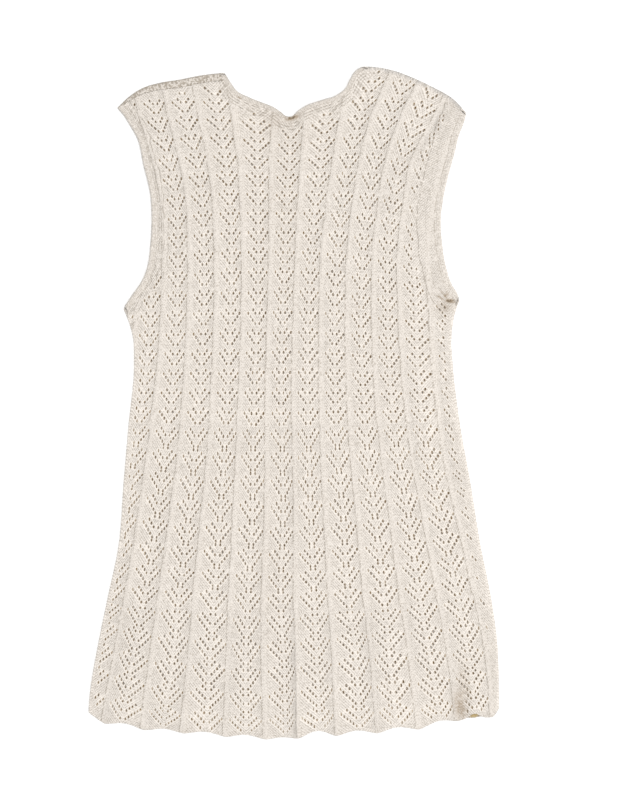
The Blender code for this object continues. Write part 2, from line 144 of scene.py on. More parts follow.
# Middles of the whole columns, counted in columns
ROW_PLACES = (1.5, 2.5, 3.5, 4.5, 5.5, 6.5, 7.5, 8.5, 9.5, 10.5)
# Height of a motif's lowest openings: motif, then in each of the whole columns
ROWS = (
    (0, 384, 386, 385, 382, 377, 382, 389, 386, 381, 362),
    (2, 339, 341, 341, 337, 331, 337, 342, 342, 333, 318),
    (5, 266, 270, 272, 271, 270, 271, 270, 268, 262, 253),
    (8, 194, 197, 199, 200, 200, 199, 196, 192, 187, 179),
    (12, 97, 98, 99, 99, 100, 100, 98, 95, 92, 90),
    (15, 24, 24, 24, 25, 25, 25, 24, 22, 22, 24),
    (17, -24, -25, -25, -27, -27, -26, -24, -24, -23, -22),
    (19, -81, -85, -86, -84, -85, -86, -83, -84, -78, -78),
    (21, -138, -145, -143, -147, -149, -147, -143, -140, -138, -130),
    (23, -197, -200, -202, -205, -206, -204, -200, -196, -193, -186),
    (25, -249, -253, -256, -260, -260, -257, -254, -252, -246, -239),
    (27, -307, -317, -319, -326, -322, -318, -312, -308, -305, -302),
    (29, -366, -378, -380, -386, -383, -377, -375, -373, -368, -360),
    (30, -393, -401, -409, -411, -410, -406, -403, -402, -397, -391),
)
# The hem's height where each rib meets it and at the sides, and its rise between two ribs
HEM_LEVELS = (-386.5, -400.5, -408.5, -412.5, -417, -420, -419, -416, -412.5, -407.5, -397, -392, -382)
SCALLOP_POINTS = 12
SCALLOPS = (0, 5.3, 3.8, 4.4, 4.7, 2.5, 8.4, 5.6, 5.6, 5.3, 1.0, 0)
SCALLOP_POWER = 1.4         # 1 would be round, more is flatter beside the ribs
SCALLOPED_MOTIFS = 2.2      # the rows bend to the scallops over this many motifs
SCALLOP_SHARE = 0.8         # and by this share of their depth
# An arch of the upper panel's hem, which shows the lower panel
ARCH = {"x": 225.5, "rise": 6.5, "half_width": 8.0}

# Side seams from the hem to the underarm: height, left edge, right edge
SIDES = (
    (-400, -256.5, 256.5),
    (-362, -254.0, 256.5),
    (-300, -243.5, 254.5),
    (-242, -231.5, 246.5),
    (-180, -218.5, 234.0),
    (-100, -212.0, 221.0),
    (-30, -206.0, 208.5),
    (48, -199.0, 199.0),
    (85, -201.0, 197.5),
    (118, -212.5, 203.5),
    (129, -218.0, 207.5),
)
UNDERARM = {"left": (-212.5, 118.0), "right": (207.5, 129.0)}
# Armhole edges from the underarm to the shoulder tip: height above it, how far inside it
ARMHOLES = {
    "left": ((0, 0), (20, 13.5), (32, 22), (48, 29), (80, 34), (112, 35.5), (140, 34), (180, 25),
             (212, 17.5), (228, 8.5), (240, 1), (250, -7.5)),
    "right": ((0, 0), (9, 4), (18, 9.5), (40, 17), (70, 22), (100, 23.7), (120, 21.5), (150, 15.5),
              (180, 7), (205, 1), (220, -5), (233, -8.5)),
}
# Shoulder folds from the tip to the neck point: x, y
SHOULDERS = {
    "left": ((-220, 368), (-204, 383), (-188, 393), (-166, 399.5), (-141, 403.5), (-116, 408.5), (-86, 412)),
    "right": ((216, 362), (199, 379.5), (171, 395.5), (146, 407), (127, 414), (109, 418), (87, 420)),
}
# Neckline edges from the left neck point to the right one: x, y
BACK_NECKLINE = ((-86, 412), (-79, 400.5), (-71, 389.5), (-54, 380.5), (-39, 374.5), (-26, 369.5), (-16, 363),
                 (-9, 357.5), (-2.5, 357), (5, 364), (13, 369.5), (36, 378), (52, 383), (65, 393), (70, 403),
                 (77, 414), (87, 420))
FRONT_NECKLINE = ((-86, 412), (-80, 392), (-70, 372), (-52, 353), (-30, 340), (-5, 334), (20, 338), (45, 352),
                  (63, 374), (74, 398), (87, 420))
# Strip of the front panel that turns over the left shoulder: share of its length, width
SHOULDER_STRIP = ((0.0, 1.5), (0.2, 6.0), (0.5, 9.5), (1.0, 9.5))
ARMHOLE_TRIM = 9.5
NECK_TRIM = 6.5
PATH_STEP = 4.0             # distance between the points of an outline
POINTS_AT_ONCE = 5000       # distances are measured for so many points at a time
NORMAL_STEP = 0.4           # and directions over this distance
MIDDLE = (0.0, 200.0)       # a place well inside the dress

# Relief of the knitting
RIB_INSET = 1.4             # the sunk stitches of a rib, in stitches left of the line between columns
RIB_DEPTH = 0.13
RIB_WIDTH = 0.95
RIB_END = (22.0, 34.0)      # the lace's texture fades between these distances from the right armhole
RIDGE_HEIGHT = 0.25         # diagonal ridges beside the openings
RIDGE_PLACE = (1.2, 1.1)    # their middle and half width, in stitches outward of a chevron
RIDGE_FADE = 2.0            # stitches over which they rise from the ribs
LEAF_HEIGHT = 0.22          # plain cloth between the chevrons and the ribs
LEAF_FADE = 1.5
RIM_HEIGHT = 0.15           # yarn round the openings
DEEPEST = 1.9               # how far a crease may sink towards the lower panel
FRONT_RELIEF = 0.4          # the lower panel is pressed flat by what lies on it
WAVES = ((71, 0.35, 0.3), (-43, 0.9, 0.28), (29, 2.1, 0.16), (-57, 1.4, 0.2))   # length, turn, height

# Unevenness of the knitting: shift in x and y, lengths, phase
WOBBLES = (
    ((0.0, 0.25), (31, 13), 1.7),
    ((0.25, 0.15), (9, 11), 2.9),
    ((-0.2, 0.25), (14, 6), 4.1),
)

# Folds: upper end x, y, lower end x, y, height, half width, length over which its ends rise
FOLDS = (
    (213, -300, 210, -415, -1.6, 5.5, 45),
    (203, -310, 199, -415, 1.2, 7, 40),
    (224, -330, 226, -430, 4.2, 8, 50),
    (-36, -170, -34, -405, 0.9, 7, 60),
    (-14, -150, -18, -260, 1.2, 7, 40),
    (0, -20, 1, -250, -0.7, 5, 60),
    (82, 392, 74, 340, 1.0, 7, 20),
    (95, 402, 88, 335, -0.9, 6, 25),
    (132, 372, 106, 290, 0.8, 9, 30),
    (206, 131, 190, 128, -1.8, 2.2, 5),
    (199, 137, 181, 147, 0.9, 3.5, 8),
    (200, 122, 184, 112, 0.8, 4.5, 8),
)

# Painted shade of creases and folds: middle x, y, half length, half width, angle in degrees, strength.
# The first ones are the painted shade of creases at the right underarm, the notch and the hem's right corner.
# The last
# six are broad and faint: painted shade of soft folds over the whole cloth.
PAINTED_SHADES = (
    (195.5, 127, 6.5, 2.3, -6, 1.4),
    (188.5, 134, 8, 1.4, 129, 0.9),
    (184, 130.5, 9, 1.4, 150, 0.9),
    (191, 137.5, 7, 1.2, 110, 0.7),
    (187, 119, 11, 8, 0, 0.5),
    (-2, 355.5, 9, 3.2, 12, 1.15),
    (-9, 359.5, 10, 2.6, -32, 0.75),
    (-68, 381, 3.5, 1.1, -31, 0.8),
    (209, -364, 15, 2, 95, 0.6),
    (213, -352, 30, 8, 98, 0.42),
    (208, -379, 22, 9.5, 100, 0.62),
    (-23, 343, 95, 52, 0, 0.17),
    (-20, 351, 38, 20, 0, 0.28),
    (-15, 235, 110, 42, 90, 0.14),
    (-100, 290, 120, 50, 80, 0.08),
    (-29, -215, 95, 17, 92, 0.14),
    (152, 85, 55, 20, 75, 0.11),
)
# Painted shade, warm and golden, on the lower panel in the opening that the upper hem makes
ARCH_PAINTED_SHADE = (225.5, -389, 10, 6, 0, 1.0)

# Trims: they roll over the folds at their ends, round the middle of the dress's thickness
MIDDLE_LEVEL = SEAM_LEVEL
ROLL_RADIUS = 1.75
TRIM_THICKNESS = 1.0
TRIM_TURN = 0.15            # share of its length over which a trim turns to lie on a fold
FOLD_STEPS = 8
TRIM_POINTS = 90
# Their sections: share of the width from the outer edge, height
TRIM_UNDERSIDE = ((1.0, 0.3), (1.0, -0.4), (0.7, -0.9), (0.3, -0.9), (0.04, -0.75))
ARMHOLE_SECTION = ((0.0, -0.3), (0.01, 0.3), (0.06, 0.75), (0.15, 0.95), (0.3, 1.0), (0.5, 0.95),
                   (0.7, 0.85), (0.78, 0.55), (0.84, 0.75), (0.93, 0.7), *TRIM_UNDERSIDE)
NECK_SECTION = ((0.0, -0.3), (0.02, 0.4), (0.1, 0.85), (0.22, 1.0), (0.34, 0.75), (0.46, 1.0),
                (0.6, 0.95), (0.7, 0.6), (0.82, 0.85), (0.93, 0.75), *TRIM_UNDERSIDE)
# The shoulder strip: its fold, and beyond that its section as share of the width and height
STRIP_STEPS = 5
STRIP_FOLD = 0.7            # the fold takes up at most this share of the width
STRIP_STITCH = 2.8          # length of a stitch along it
STRIP_LANE = 0.5            # knitted rows from one point of the section to the next
STRIP_SECTION = ((0.3, 0.3), (0.6, 0.4), (0.85, 0.2), (0.97, -0.5), (1.0, -1.2))

# Colours
YARN = (0.69, 0.645, 0.597)
# YARN_LIGHT: the yarn's lighter fuzz, and painted highlight on rims, threads, lit folded edges and the right
# armhole's trim
YARN_LIGHT = (0.90, 0.845, 0.78)
YARN_SHADE = (0.55, 0.50, 0.44)
# YARN_DARK: the yarn's dark speckle, and painted shade in hollows, sunk lines and slits
YARN_DARK = (0.36, 0.315, 0.26)
# painted warm shade at the edge of each opening
YARN_WARM_PAINTED_SHADE = (0.60, 0.43, 0.22)
# painted shade of creases and folds
YARN_TAN_PAINTED_SHADE = (0.33, 0.255, 0.178)
# painted shade, warm and golden, of the lower panel under the arch
YARN_GOLD_PAINTED_SHADE = (0.50, 0.385, 0.19)
# painted shade on folded edges and along the outer edges of trims
YARN_PAINTED_EDGE_SHADE = (0.46, 0.44, 0.42)
# painted shade in the middle of the deepest creases
CREASE_PAINTED_SHADE = (0.11, 0.085, 0.06)
# painted shade on the lips of the openings
HOLE_PAINTED_SHADE = (0.16, 0.09, 0.025)

# Uneven patterns: scale, detail, and the values between which they go from 0 to 1
PATTERNS = {
    "mottle": (60.0, 3.0, 0.3, 0.7),
    "speckle": (560.0, 1.0, 0.5, 0.7),
    "fuzz": (800.0, 1.0, 0.35, 0.65),
    "creases": (330.0, 2.0, 0.3, 0.65),
    "broken": (160.0, 2.0, 0.3, 0.55),
    "fold": (380.0, 2.0, 0.35, 0.6),
    "threads": (300.0, 1.0, 0.35, 0.6),
    "trim_line": (160.0, 2.0, 0.35, 0.6),
    "trim_rough": (420.0, 2.0, 0.4, 0.6),
    "trim_worn": (260.0, 2.0, 0.42, 0.7),
    "strip_rough": (330.0, 2.0, 0.35, 0.65),
}
# How strongly each look covers what is under it. Painted shade: hollow, groove, crease, slits, opening,
# trim_hollow, trim_line, strip_hollow; painted highlight: rim, threads; trim_edge: painted shade, and painted
# light on the right armhole's trim
COVER = {"fuzz": 0.45, "speckle": 0.54, "crease": 0.9, "hollow": 0.45, "groove": 0.75, "rim": 0.4,
         "threads": 0.38, "slits": 0.4, "opening": 0.85, "trim_worn": 0.5, "trim_hollow": 0.6,
         "trim_line": 0.6, "trim_edge": 0.55, "strip": 0.35, "strip_hollow": 0.9}
# Half widths of the drawn lines: those of the lace in stitches, the others in millimetres
LINE_WIDTHS = {"rib": 0.42, "slit": 0.42, "thread": 0.5, "edge": 0.9, "trim": 0.7}
LINE_CORE = 0.2             # share of it that is at full strength
# Slow noises by which lines waver: scale, detail
WAVERS = {"rib": (95.0, 1.0), "edge": (48.0, 1.0), "strip": (150.0, 2.0)}
# painted shade marks this line of sunk stitches
TRIM_LINE = 8.3             # a line of sunk stitches this far inside a trim's outer edge
TRIM_STITCH = 2.0           # length of a stitch along a trim
TRIM_LANE = 2.2             # distance between its lanes of stitches
# Two slanted legs of a stitch: how far they slant, and the heights of their two waves
LEG_SLANT = 1.2
STITCH_WAVES = (0.35, 0.5)
BUMP_DEPTH = 1.0            # height of the yarn's relief in the materials
STRIP_BUMP_DEPTH = 0.8
YARN_SURFACE = {"Roughness": 0.85, "Specular IOR Level": 0.25, "Sheen Weight": 0.12, "Sheen Roughness": 0.5}

# Folded edges get painted shade over the shoulders and painted light at the sides
TURN_SHADE = 7.0            # folded edges differ in colour over this width
# How strong the painted shade on them is over the shoulders, and the painted light at the sides, where it is
# negative
SHOULDER_TURN = 1.0
LEFT_TURN = -0.1
RIGHT_TURN = -0.2

# Lines of sunk stitches along an edge, painted darker as shade: distance from it, how much they waver,
# strength
EDGE_LINES = {
    "left": ((10.5, 9.0, 0.8), (16.0, 14.0, 0.8), (22.0, 10.0, 0.5)),
    "right": ((19.6, 4.0, 0.3), (30.0, 6.0, 0.9)),
    "neck": ((8.5, 5.0, 0.8), (12.0, 5.0, 0.8), (15.5, 5.0, 0.7)),
}
# A line of painted shade that runs on between the openings of an arm comes in between these heights, in
# metres
SLIT_HEIGHTS = (0.20, 0.30)

CAMERA_PLACE = (19.4, 3.4)
VIEW_HEIGHT = 1000          # how much of the floor the picture shows
FOCAL_LENGTH = 85.0
SENSOR = 36.0
FLOOR_HALF = 6000
FLOOR_LEVEL = -0.5          # a little under the cloth, so that they don't coincide
FLOOR_COLOUR = (0.95, 0.95, 0.95, 1.0)
FLOOR_ROUGHNESS = 0.9
WORLD_LIGHT = 0.42
# Lights: name, place, size, power, colour
LIGHTS = (
    ("key", (1.3, -0.8, 2.4), 0.8, 26.0, (1.0, 0.985, 0.965)),
    ("overhead", (0.0, 0.3, 3.0), 1.5, 69.0, (1.0, 0.99, 0.98)),
)


# Curves

def smooth_curve(knots, values, at):
    """Values of a smooth curve through a table of rising knots, with straight ends."""
    knots, values, at = (np.asarray(each, float) for each in (knots, values, at))
    slopes = np.gradient(values, knots)
    within = np.clip(at, knots[0], knots[-1])
    piece = np.clip(np.searchsorted(knots, within, side="right") - 1, 0, len(knots) - 2)
    length = knots[piece + 1] - knots[piece]
    t = (within - knots[piece]) / length
    curve = ((1 + 2 * t) * (1 - t) ** 2 * values[piece] + t * (1 - t) ** 2 * length * slopes[piece]
             + t * t * (3 - 2 * t) * values[piece + 1] + t * t * (t - 1) * length * slopes[piece + 1])
    return curve + slopes[0] * np.minimum(at - knots[0], 0) + slopes[-1] * np.maximum(at - knots[-1], 0)


def smooth_step(t):
    """0 up to 0, 1 from 1 on, smooth between."""
    t = np.clip(t, 0.0, 1.0)
    return t * t * (3 - 2 * t)


def unit(vector):
    return vector / np.maximum(np.linalg.norm(vector, axis=-1, keepdims=True), 1e-9)


def turned(vectors, sign):
    """Vectors turned by a right angle: to the left where the sign is +1, to the right where -1."""
    return np.column_stack([-vectors[:, 1], vectors[:, 0]]) * sign


def path_length(points):
    return np.concatenate(([0.0], np.cumsum(np.linalg.norm(np.diff(points, axis=0), axis=1))))


def resample(points, count):
    """The same open path with evenly spaced points, rounded through its corners."""
    points = np.asarray(points, float)
    along = path_length(points)
    at = np.linspace(0.0, along[-1], count)
    return np.column_stack([smooth_curve(along, points[:, axis], at) for axis in (0, 1)])


def spaced(points):
    """A path with a point every PATH_STEP."""
    length = path_length(np.asarray(points, float))[-1]
    return resample(points, int(length / PATH_STEP) + 2)


# Outline

def side_x(side, y):
    heights = [row[0] for row in SIDES]
    return smooth_curve(heights, [row[1 if side == "left" else 2] for row in SIDES], y)


def side_path(side):
    """Side seam from the hem up to the underarm."""
    top = UNDERARM[side][1]
    bottom = HEM_LEVELS[0] if side == "left" else HEM_LEVELS[-1]
    heights = np.linspace(bottom, top, int((top - bottom) / PATH_STEP))
    return np.column_stack([side_x(side, heights), heights])


def armhole_path(side):
    """Outer edge of the armhole from the underarm up to the shoulder tip."""
    x, y = UNDERARM[side]
    inward = 1.0 if side == "left" else -1.0
    return spaced([(x + inward * inside, y + height) for height, inside in ARMHOLES[side]])


def rib_x(rib, y):
    """Where a rib lies at a height. Beyond the tables they go on as far apart as the last ones."""
    within = min(max(rib, 1), len(RIBS))
    x = smooth_curve(RIB_HEIGHTS[::-1], RIBS[within - 1][::-1], y)
    if rib != within:
        neighbour = within + (1 if within == 1 else -1)
        x += abs(rib - within) * (x - rib_x(neighbour, y))
    return x


def centre_x(column, y):
    """Where the centre line of a column lies."""
    within = min(max(column, 1), len(CENTRES))
    x = smooth_curve(RIB_HEIGHTS[::-1], CENTRES[within - 1][::-1], y)
    return x + (column - within) * (rib_x(within + 1, y) - rib_x(within, y))


def cloth_x(column, place, y):
    """x of a place between a column's left rib (-1) and its right one (1)."""
    left, centre, right = rib_x(column, y), centre_x(column, y), rib_x(column + 1, y)
    return centre + (right - left) / 2 * place + ((left + right) / 2 - centre) * place ** 2 + LACE_SHIFT


def hem_path(raised):
    """The hem from left to right. The lower panel's is raised a little and has no arch."""
    ribs = [side_x("left", HEM_LEVELS[0])]
    ribs += [row[-1] for row in RIBS]
    ribs += [side_x("right", HEM_LEVELS[-1])]
    points = []
    for column in range(len(ribs) - 1):
        share = np.linspace(0.0, 1.0, SCALLOP_POINTS, endpoint=False)
        x = ribs[column] + (ribs[column + 1] - ribs[column]) * share
        level = smooth_curve(range(len(HEM_LEVELS)), HEM_LEVELS, column + share)
        wave = SCALLOPS[column] * np.sin(np.pi * share) ** SCALLOP_POWER
        points.append(np.column_stack([x, level + wave]))
    points.append([[ribs[-1], HEM_LEVELS[-1]]])
    path = np.vstack(points)
    arch = np.exp(-((path[:, 0] - ARCH["x"]) / ARCH["half_width"]) ** 2)
    path[:, 1] += raised * (1 - arch) if raised else ARCH["rise"] * arch
    return path


def strip_lines():
    """Fold of the left shoulder, its normals, and the width of the strip along it."""
    fold = spaced(SHOULDERS["left"])
    widths = smooth_curve(*zip(*SHOULDER_STRIP), np.linspace(0.0, 1.0, len(fold)))
    return fold, turned(unit(np.gradient(fold, axis=0)), 1.0), widths


def strip_seam():
    """Seam below the left shoulder, where the strip of the front panel ends."""
    fold, normals, widths = strip_lines()
    return fold - normals * widths[:, None]


def outline(neckline, shows):
    """Edges of a panel in order round it: kind, path, how far inside it the flat cloth ends."""
    left_shoulder = strip_seam() if shows else spaced(SHOULDERS["left"])
    raised = 0.0 if shows else HEM_MARGIN
    return (
        ("hem", hem_path(raised), HEM_INSET),
        ("side", side_path("right"), EDGE_ROUND),
        ("armhole", armhole_path("right"), ARMHOLE_TRIM - TUCK),
        ("side", spaced(SHOULDERS["right"]), EDGE_ROUND),
        ("neck", spaced(neckline)[::-1], NECK_TRIM - TUCK),
        ("seam" if shows else "side", left_shoulder[::-1], SEAM_INSET if shows else EDGE_ROUND),
        ("armhole", armhole_path("left")[::-1], ARMHOLE_TRIM - TUCK),
        ("side", side_path("left")[::-1], EDGE_ROUND),
    )


def distance_to(points, path):
    """Distance from each point to a path."""
    start, step = path[:-1], np.diff(path, axis=0)
    size = np.maximum((step ** 2).sum(1), 1e-9)
    result = []
    for some in np.array_split(points, len(points) // POINTS_AT_ONCE + 1):
        along = some @ step.T - (start * step).sum(1)
        share = np.clip(along / size, 0.0, 1.0)
        squared = (some ** 2).sum(1)[:, None] + (start ** 2).sum(1) - 2 * some @ start.T
        squared -= share * (2 * along - share * size)
        result.append(np.sqrt(np.maximum(squared.min(1), 0.0)))
    return np.concatenate(result)


def inside_polygon(points, polygon):
    """Whether each point lies inside a closed polygon."""
    x, y = points[:, 0], points[:, 1]
    inside = np.zeros(len(points), bool)
    for (ax, ay), (bx, by) in zip(polygon, np.roll(polygon, -1, axis=0)):
        if ay != by:
            crosses = ((ay > y) != (by > y)) & (x < (bx - ax) * (y - ay) / (by - ay) + ax)
            inside ^= crosses
    return inside


class Region:
    """The flat part of a panel: how deep a point lies inside it, and by which edge."""

    def __init__(self, neckline, shows):
        self.edges = outline(neckline, shows)
        self.kinds = [kind for kind, _, _ in self.edges]
        self.insets = np.array([inset for _, _, inset in self.edges])
        self.polygon = np.vstack([path for _, path, _ in self.edges])

    def measure(self, points):
        """Depth of each point inside the flat cloth, and its distance from every edge."""
        away = np.column_stack([distance_to(points, path) for _, path, _ in self.edges])
        outside = -away.min(1) - self.insets[away.argmin(1)]
        depth = np.where(inside_polygon(points, self.polygon), (away - self.insets).min(1), outside)
        return depth, away

    def depth(self, points):
        return self.measure(points)[0]

    def calm_share(self, away):
        """0 at the edges, 1 well inside. The hem keeps its relief."""
        rest = [number for number, kind in enumerate(self.kinds) if kind != "hem"]
        return smooth_step((away - self.insets)[:, rest].min(1) / FLAT_MARGIN)

    def outward(self, points):
        """Unit vectors that lead out of the region."""
        slope = [self.depth(points + shift) - self.depth(points - shift)
                 for shift in NORMAL_STEP * np.eye(2)]
        return -unit(np.column_stack(slope))


# Cloth coordinates

def motif_rows(motif):
    """How many lace rows a motif has."""
    for rows, end in ZONE_ENDS.items():
        if motif < end:
            return rows
    return rows


def knitted_rows():
    """Every knitted row from the neck down: its motif count and the lace rows of its motif."""
    rows = []
    start = FIRST_MOTIF
    for lace_rows, end in ZONE_ENDS.items():
        count = (end - start) * 2 * lace_rows
        first = 0 if not rows else 1
        rows += [(start + step / (2 * lace_rows), lace_rows) for step in range(first, count + 1)]
        start = end
    return rows


def stitch_edges(lace_rows):
    """Edges of the stitches across a column, counted from its centre, its ribs among them."""
    halves = np.arange(-lace_rows + 0.5, lace_rows)
    return np.concatenate(([-lace_rows], halves, [lace_rows]))


class LaidRows:
    """Every knitted row as points with their cloth coordinates. Both panels are cut from it."""

    def __init__(self):
        knots = [row[0] - 0.5 / motif_rows(row[0] - 1) for row in ROWS]
        rows = knitted_rows()
        motifs = np.array([motif for motif, _ in rows])
        heights = np.array([smooth_curve(knots, [row[1 + place] for row in ROWS], motifs)
                            for place in range(len(ROW_PLACES))])
        laid = []
        self.starts = [0]
        for number, (motif, lace_rows) in enumerate(rows):
            edges = stitch_edges(lace_rows)
            column = np.append(np.repeat(COLUMNS, len(edges) - 1), COLUMNS[-1])
            stitch = np.append(np.tile(edges[:-1], len(COLUMNS)), lace_rows)
            share = stitch / lace_rows
            y = smooth_curve(ROW_PLACES, heights[:, number], column + (share + 1) / 2)
            ending = smooth_step((motif - HEM_MOTIF + SCALLOPED_MOTIFS) / SCALLOPED_MOTIFS)
            bend = np.take(SCALLOPS, column, mode="clip") * np.abs(share) ** SCALLOP_POWER
            y -= bend * SCALLOP_SHARE * ending
            laid.append((column, stitch, np.full(len(y), motif), np.full(len(y), lace_rows), y))
            self.starts.append(self.starts[-1] + len(y))
        self.column, self.stitch, self.motif, self.rows, y = map(np.concatenate, zip(*laid))
        share = self.stitch / self.rows
        stretched = share * (1 + np.array([STRETCH[rows] for rows in self.rows]) * (1 - share ** 2))
        x = np.empty(len(y))
        for each in COLUMNS:
            here = self.column == each
            x[here] = cloth_x(each, stretched[here], y[here])
        self.place = np.column_stack([x, y])
        for amount, lengths, phase in WOBBLES:
            shift = np.sin(x / lengths[0] + phase) * np.sin(y / lengths[1] + 2 * phase)
            self.place += np.outer(shift, amount)


class Cloth:
    """Points and faces of a panel, with the cloth coordinates of each point."""

    def __init__(self, region, laid):
        self.region = region
        self.starts = laid.starts
        self.column, self.stitch = laid.column.tolist(), laid.stitch.tolist()
        self.motif, self.rows = laid.motif.tolist(), laid.rows.tolist()
        place = laid.place.copy()
        depth, self.away = region.measure(place)
        near = np.abs(depth) < SNAP
        place[near] += region.outward(place[near]) * depth[near][:, None]
        self.place = list(place)
        self.depth = np.where(near, 0.0, depth).tolist()
        self.calm = region.calm_share(self.away).tolist()
        # hole: how dark an opening's painted shade is, above 0, and -1 at its rim, which gets a painted
        # highlight; relief() also sinks and raises the cloth by it
        self.hole = [0.0] * len(self.depth)
        self.faces, self.face_column, self.face_rows, self.cuts = [], [], [], {}
        self.weave()
        self.settle_cuts()

    def add_point(self, column, stitch, motif, rows, place, calm=0.0, hole=0.0, depth=0.0):
        self.column.append(column)
        self.stitch.append(stitch)
        self.motif.append(motif)
        self.rows.append(rows)
        self.place.append(place)
        self.calm.append(calm)
        self.hole.append(hole)
        self.depth.append(depth)
        return len(self.place) - 1

    def own_stitch(self, point, column, rows):
        """A point's stitch as its neighbour column or zone counts it."""
        share = self.stitch[point] / self.rows[point]
        return rows * (1.0 if self.column[point] == column + 1 else share)

    def cut_edge(self, inner, outer, column, rows):
        """The point where a side of a cell crosses the outline."""
        key = (inner, outer)
        if key not in self.cuts:
            t = self.depth[inner] / (self.depth[inner] - self.depth[outer])
            stitches = [self.own_stitch(point, column, rows) for point in key]
            motifs = [self.motif[point] for point in key]
            place = self.place[inner] * (1 - t) + self.place[outer] * t
            self.cuts[key] = self.add_point(column, stitches[0] + (stitches[1] - stitches[0]) * t,
                                            motifs[0] + (motifs[1] - motifs[0]) * t, rows, place,
                                            calm=self.calm[outer])
        return self.cuts[key]

    def settle_cuts(self):
        """Cut points move exactly onto the outline."""
        points = sorted(self.cuts.values())
        place = np.array([self.place[point] for point in points])
        place += self.region.outward(place) * self.region.depth(place)[:, None]
        for point, there in zip(points, place):
            self.place[point] = there

    def add_face(self, corners, column, rows):
        """A face, or what is left of it inside the outline."""
        depth = [self.depth[corner] for corner in corners]
        if max(depth) <= 0:
            return
        if min(depth) < 0:
            kept = []
            for here, there in zip(corners, corners[1:] + corners[:1]):
                if self.depth[here] >= 0:
                    kept.append(here)
                if self.depth[here] > 0 > self.depth[there]:
                    kept.append(self.cut_edge(here, there, column, rows))
                elif self.depth[here] < 0 < self.depth[there]:
                    kept.append(self.cut_edge(there, here, column, rows))
            corners = kept
        if len(corners) > 2:
            self.faces.append(corners)
            self.face_column.append(column)
            self.face_rows.append(rows)

    def add_cell(self, here, there, column, rows):
        """The face between two points and their neighbours to the right."""
        self.add_face([here, there, there + 1, here + 1], column, rows)

    def laid_point(self, number, column, rows, cell=0):
        """A laid point by its knitted row, its column and its place in the column."""
        return self.starts[number] + (column - COLUMNS[0]) * (2 * rows + 1) + cell

    def weave(self):
        """Cells between the rows, two rows at a time, with the openings of the lace among them."""
        rows = knitted_rows()
        chance = np.random.default_rng(SEED)
        for number in range(0, len(rows) - 2, 2):
            motif, above = rows[number]
            below = rows[number + 1][1]
            if above != below:
                self.widen(number, above, below)
                self.plain(number + 1, below)
                continue
            lace_row = int(round((motif % 1.0) * above)) % above
            for column in COLUMNS:
                for cell in range(2 * above + 1):
                    at = [self.laid_point(line, column, above, cell) for line in range(number, number + 3)]
                    if is_open(cell - above, lace_row, above) and self.has_room(at[1]):
                        self.opening(at, column, cell - above, above, chance)
                    else:
                        self.add_cell(at[0], at[1], column, above)
                        self.add_cell(at[1], at[2], column, above)

    def plain(self, number, rows):
        """One row of cells without openings."""
        for column in COLUMNS:
            for cell in range(2 * rows + 1):
                self.add_cell(self.laid_point(number, column, rows, cell),
                              self.laid_point(number + 1, column, rows, cell), column, rows)

    def widen(self, number, above, below):
        """A row of triangles where the columns get more stitches."""
        for column in COLUMNS:
            upper = self.laid_point(number, column, above)
            lower = self.laid_point(number + 1, column, below)
            top, bottom = stitch_edges(above) / above, stitch_edges(below) / below
            i = j = 0
            while i < len(top) - 1 or j < len(bottom) - 1:
                if j == len(bottom) - 1 or (i < len(top) - 1 and top[i + 1] < bottom[j + 1]):
                    self.add_face([upper + i, lower + j, upper + i + 1], column, below)
                    i += 1
                else:
                    self.add_face([upper + i, lower + j, lower + j + 1], column, below)
                    j += 1

    def has_room(self, point):
        """Whether an opening there keeps clear of the edges and of the closed spot."""
        x, y = self.place[point]
        away = self.away[point]
        if any(away[edge] < np.interp(y, *zip(*table)) for edge, table in ARMHOLE_MARGINS.items()):
            return False
        closed = (abs(x - CLOSED_SPOT["x"]) < CLOSED_SPOT["half_width"]
                  and abs(y - CLOSED_SPOT["y"]) < CLOSED_SPOT["half_height"])
        return self.depth[point] > 0 and not closed and bool((away > OPENING_MARGINS).all())

    def opening(self, at, column, stitch, rows, chance):
        """An opening between two stitches: a slanted drop, with cloth from it to the cell's sides."""
        left, right = list(at), [point + 1 for point in at]
        across = self.place[right[1]] - self.place[left[1]]
        down = (self.place[left[2]] + self.place[right[2]] - self.place[left[0]] - self.place[right[0]]) / 4
        middle = (self.place[left[1]] + self.place[right[1]]) / 2 + across * chance.normal(0, OPENING_SHIFT)
        width, slant, outer_slant = OPENING_FORMS[rows]
        width *= chance.normal(1, SPREAD)
        height = min(OPENING_HEIGHT * chance.normal(1, SPREAD / 2), 1.0)
        hole = np.clip(chance.normal(*OPENING_DARKNESS), *DARKNESS_LIMITS)
        openness = np.interp(middle[1], OPENNESS_HEIGHTS, OPENNESS)
        openness *= np.interp(self.away[at[1]][LEFT_SIDE], (0, CLOSING_WIDTH), (CLOSING, 1.0))
        width *= openness
        hole *= openness
        along_arm = (abs(stitch) - 1) / (ARMS[rows][0] - 1)
        if abs(stitch) == ARMS[rows][0]:
            narrowing = OUTERMOST_WIDTHS[rows][0 if stitch < 0 else 1]
            width *= narrowing
            hole *= (1 + narrowing) / 2
        if abs(stitch) == 1:
            height *= INNERMOST_HEIGHT
        slant += (outer_slant - slant) * along_arm
        slant *= -math.copysign(chance.normal(1, SPREAD), stitch)
        drop = []
        for step in range(DROP_POINTS):
            angle = 2 * math.pi * step / DROP_POINTS
            low = -height * math.cos(angle)
            side = width * math.sin(angle) * (1 + DROP_TAPER * low) + slant * low
            drop.append(self.add_point(column, stitch + side, self.motif[at[1]] + low / (2 * rows), rows,
                                       middle + across * side + down * low, calm=self.calm[at[1]],
                                       hole=hole, depth=self.depth[at[1]]))
        top, top_right, to_right, low_right, low, low_left, to_left, top_left = drop
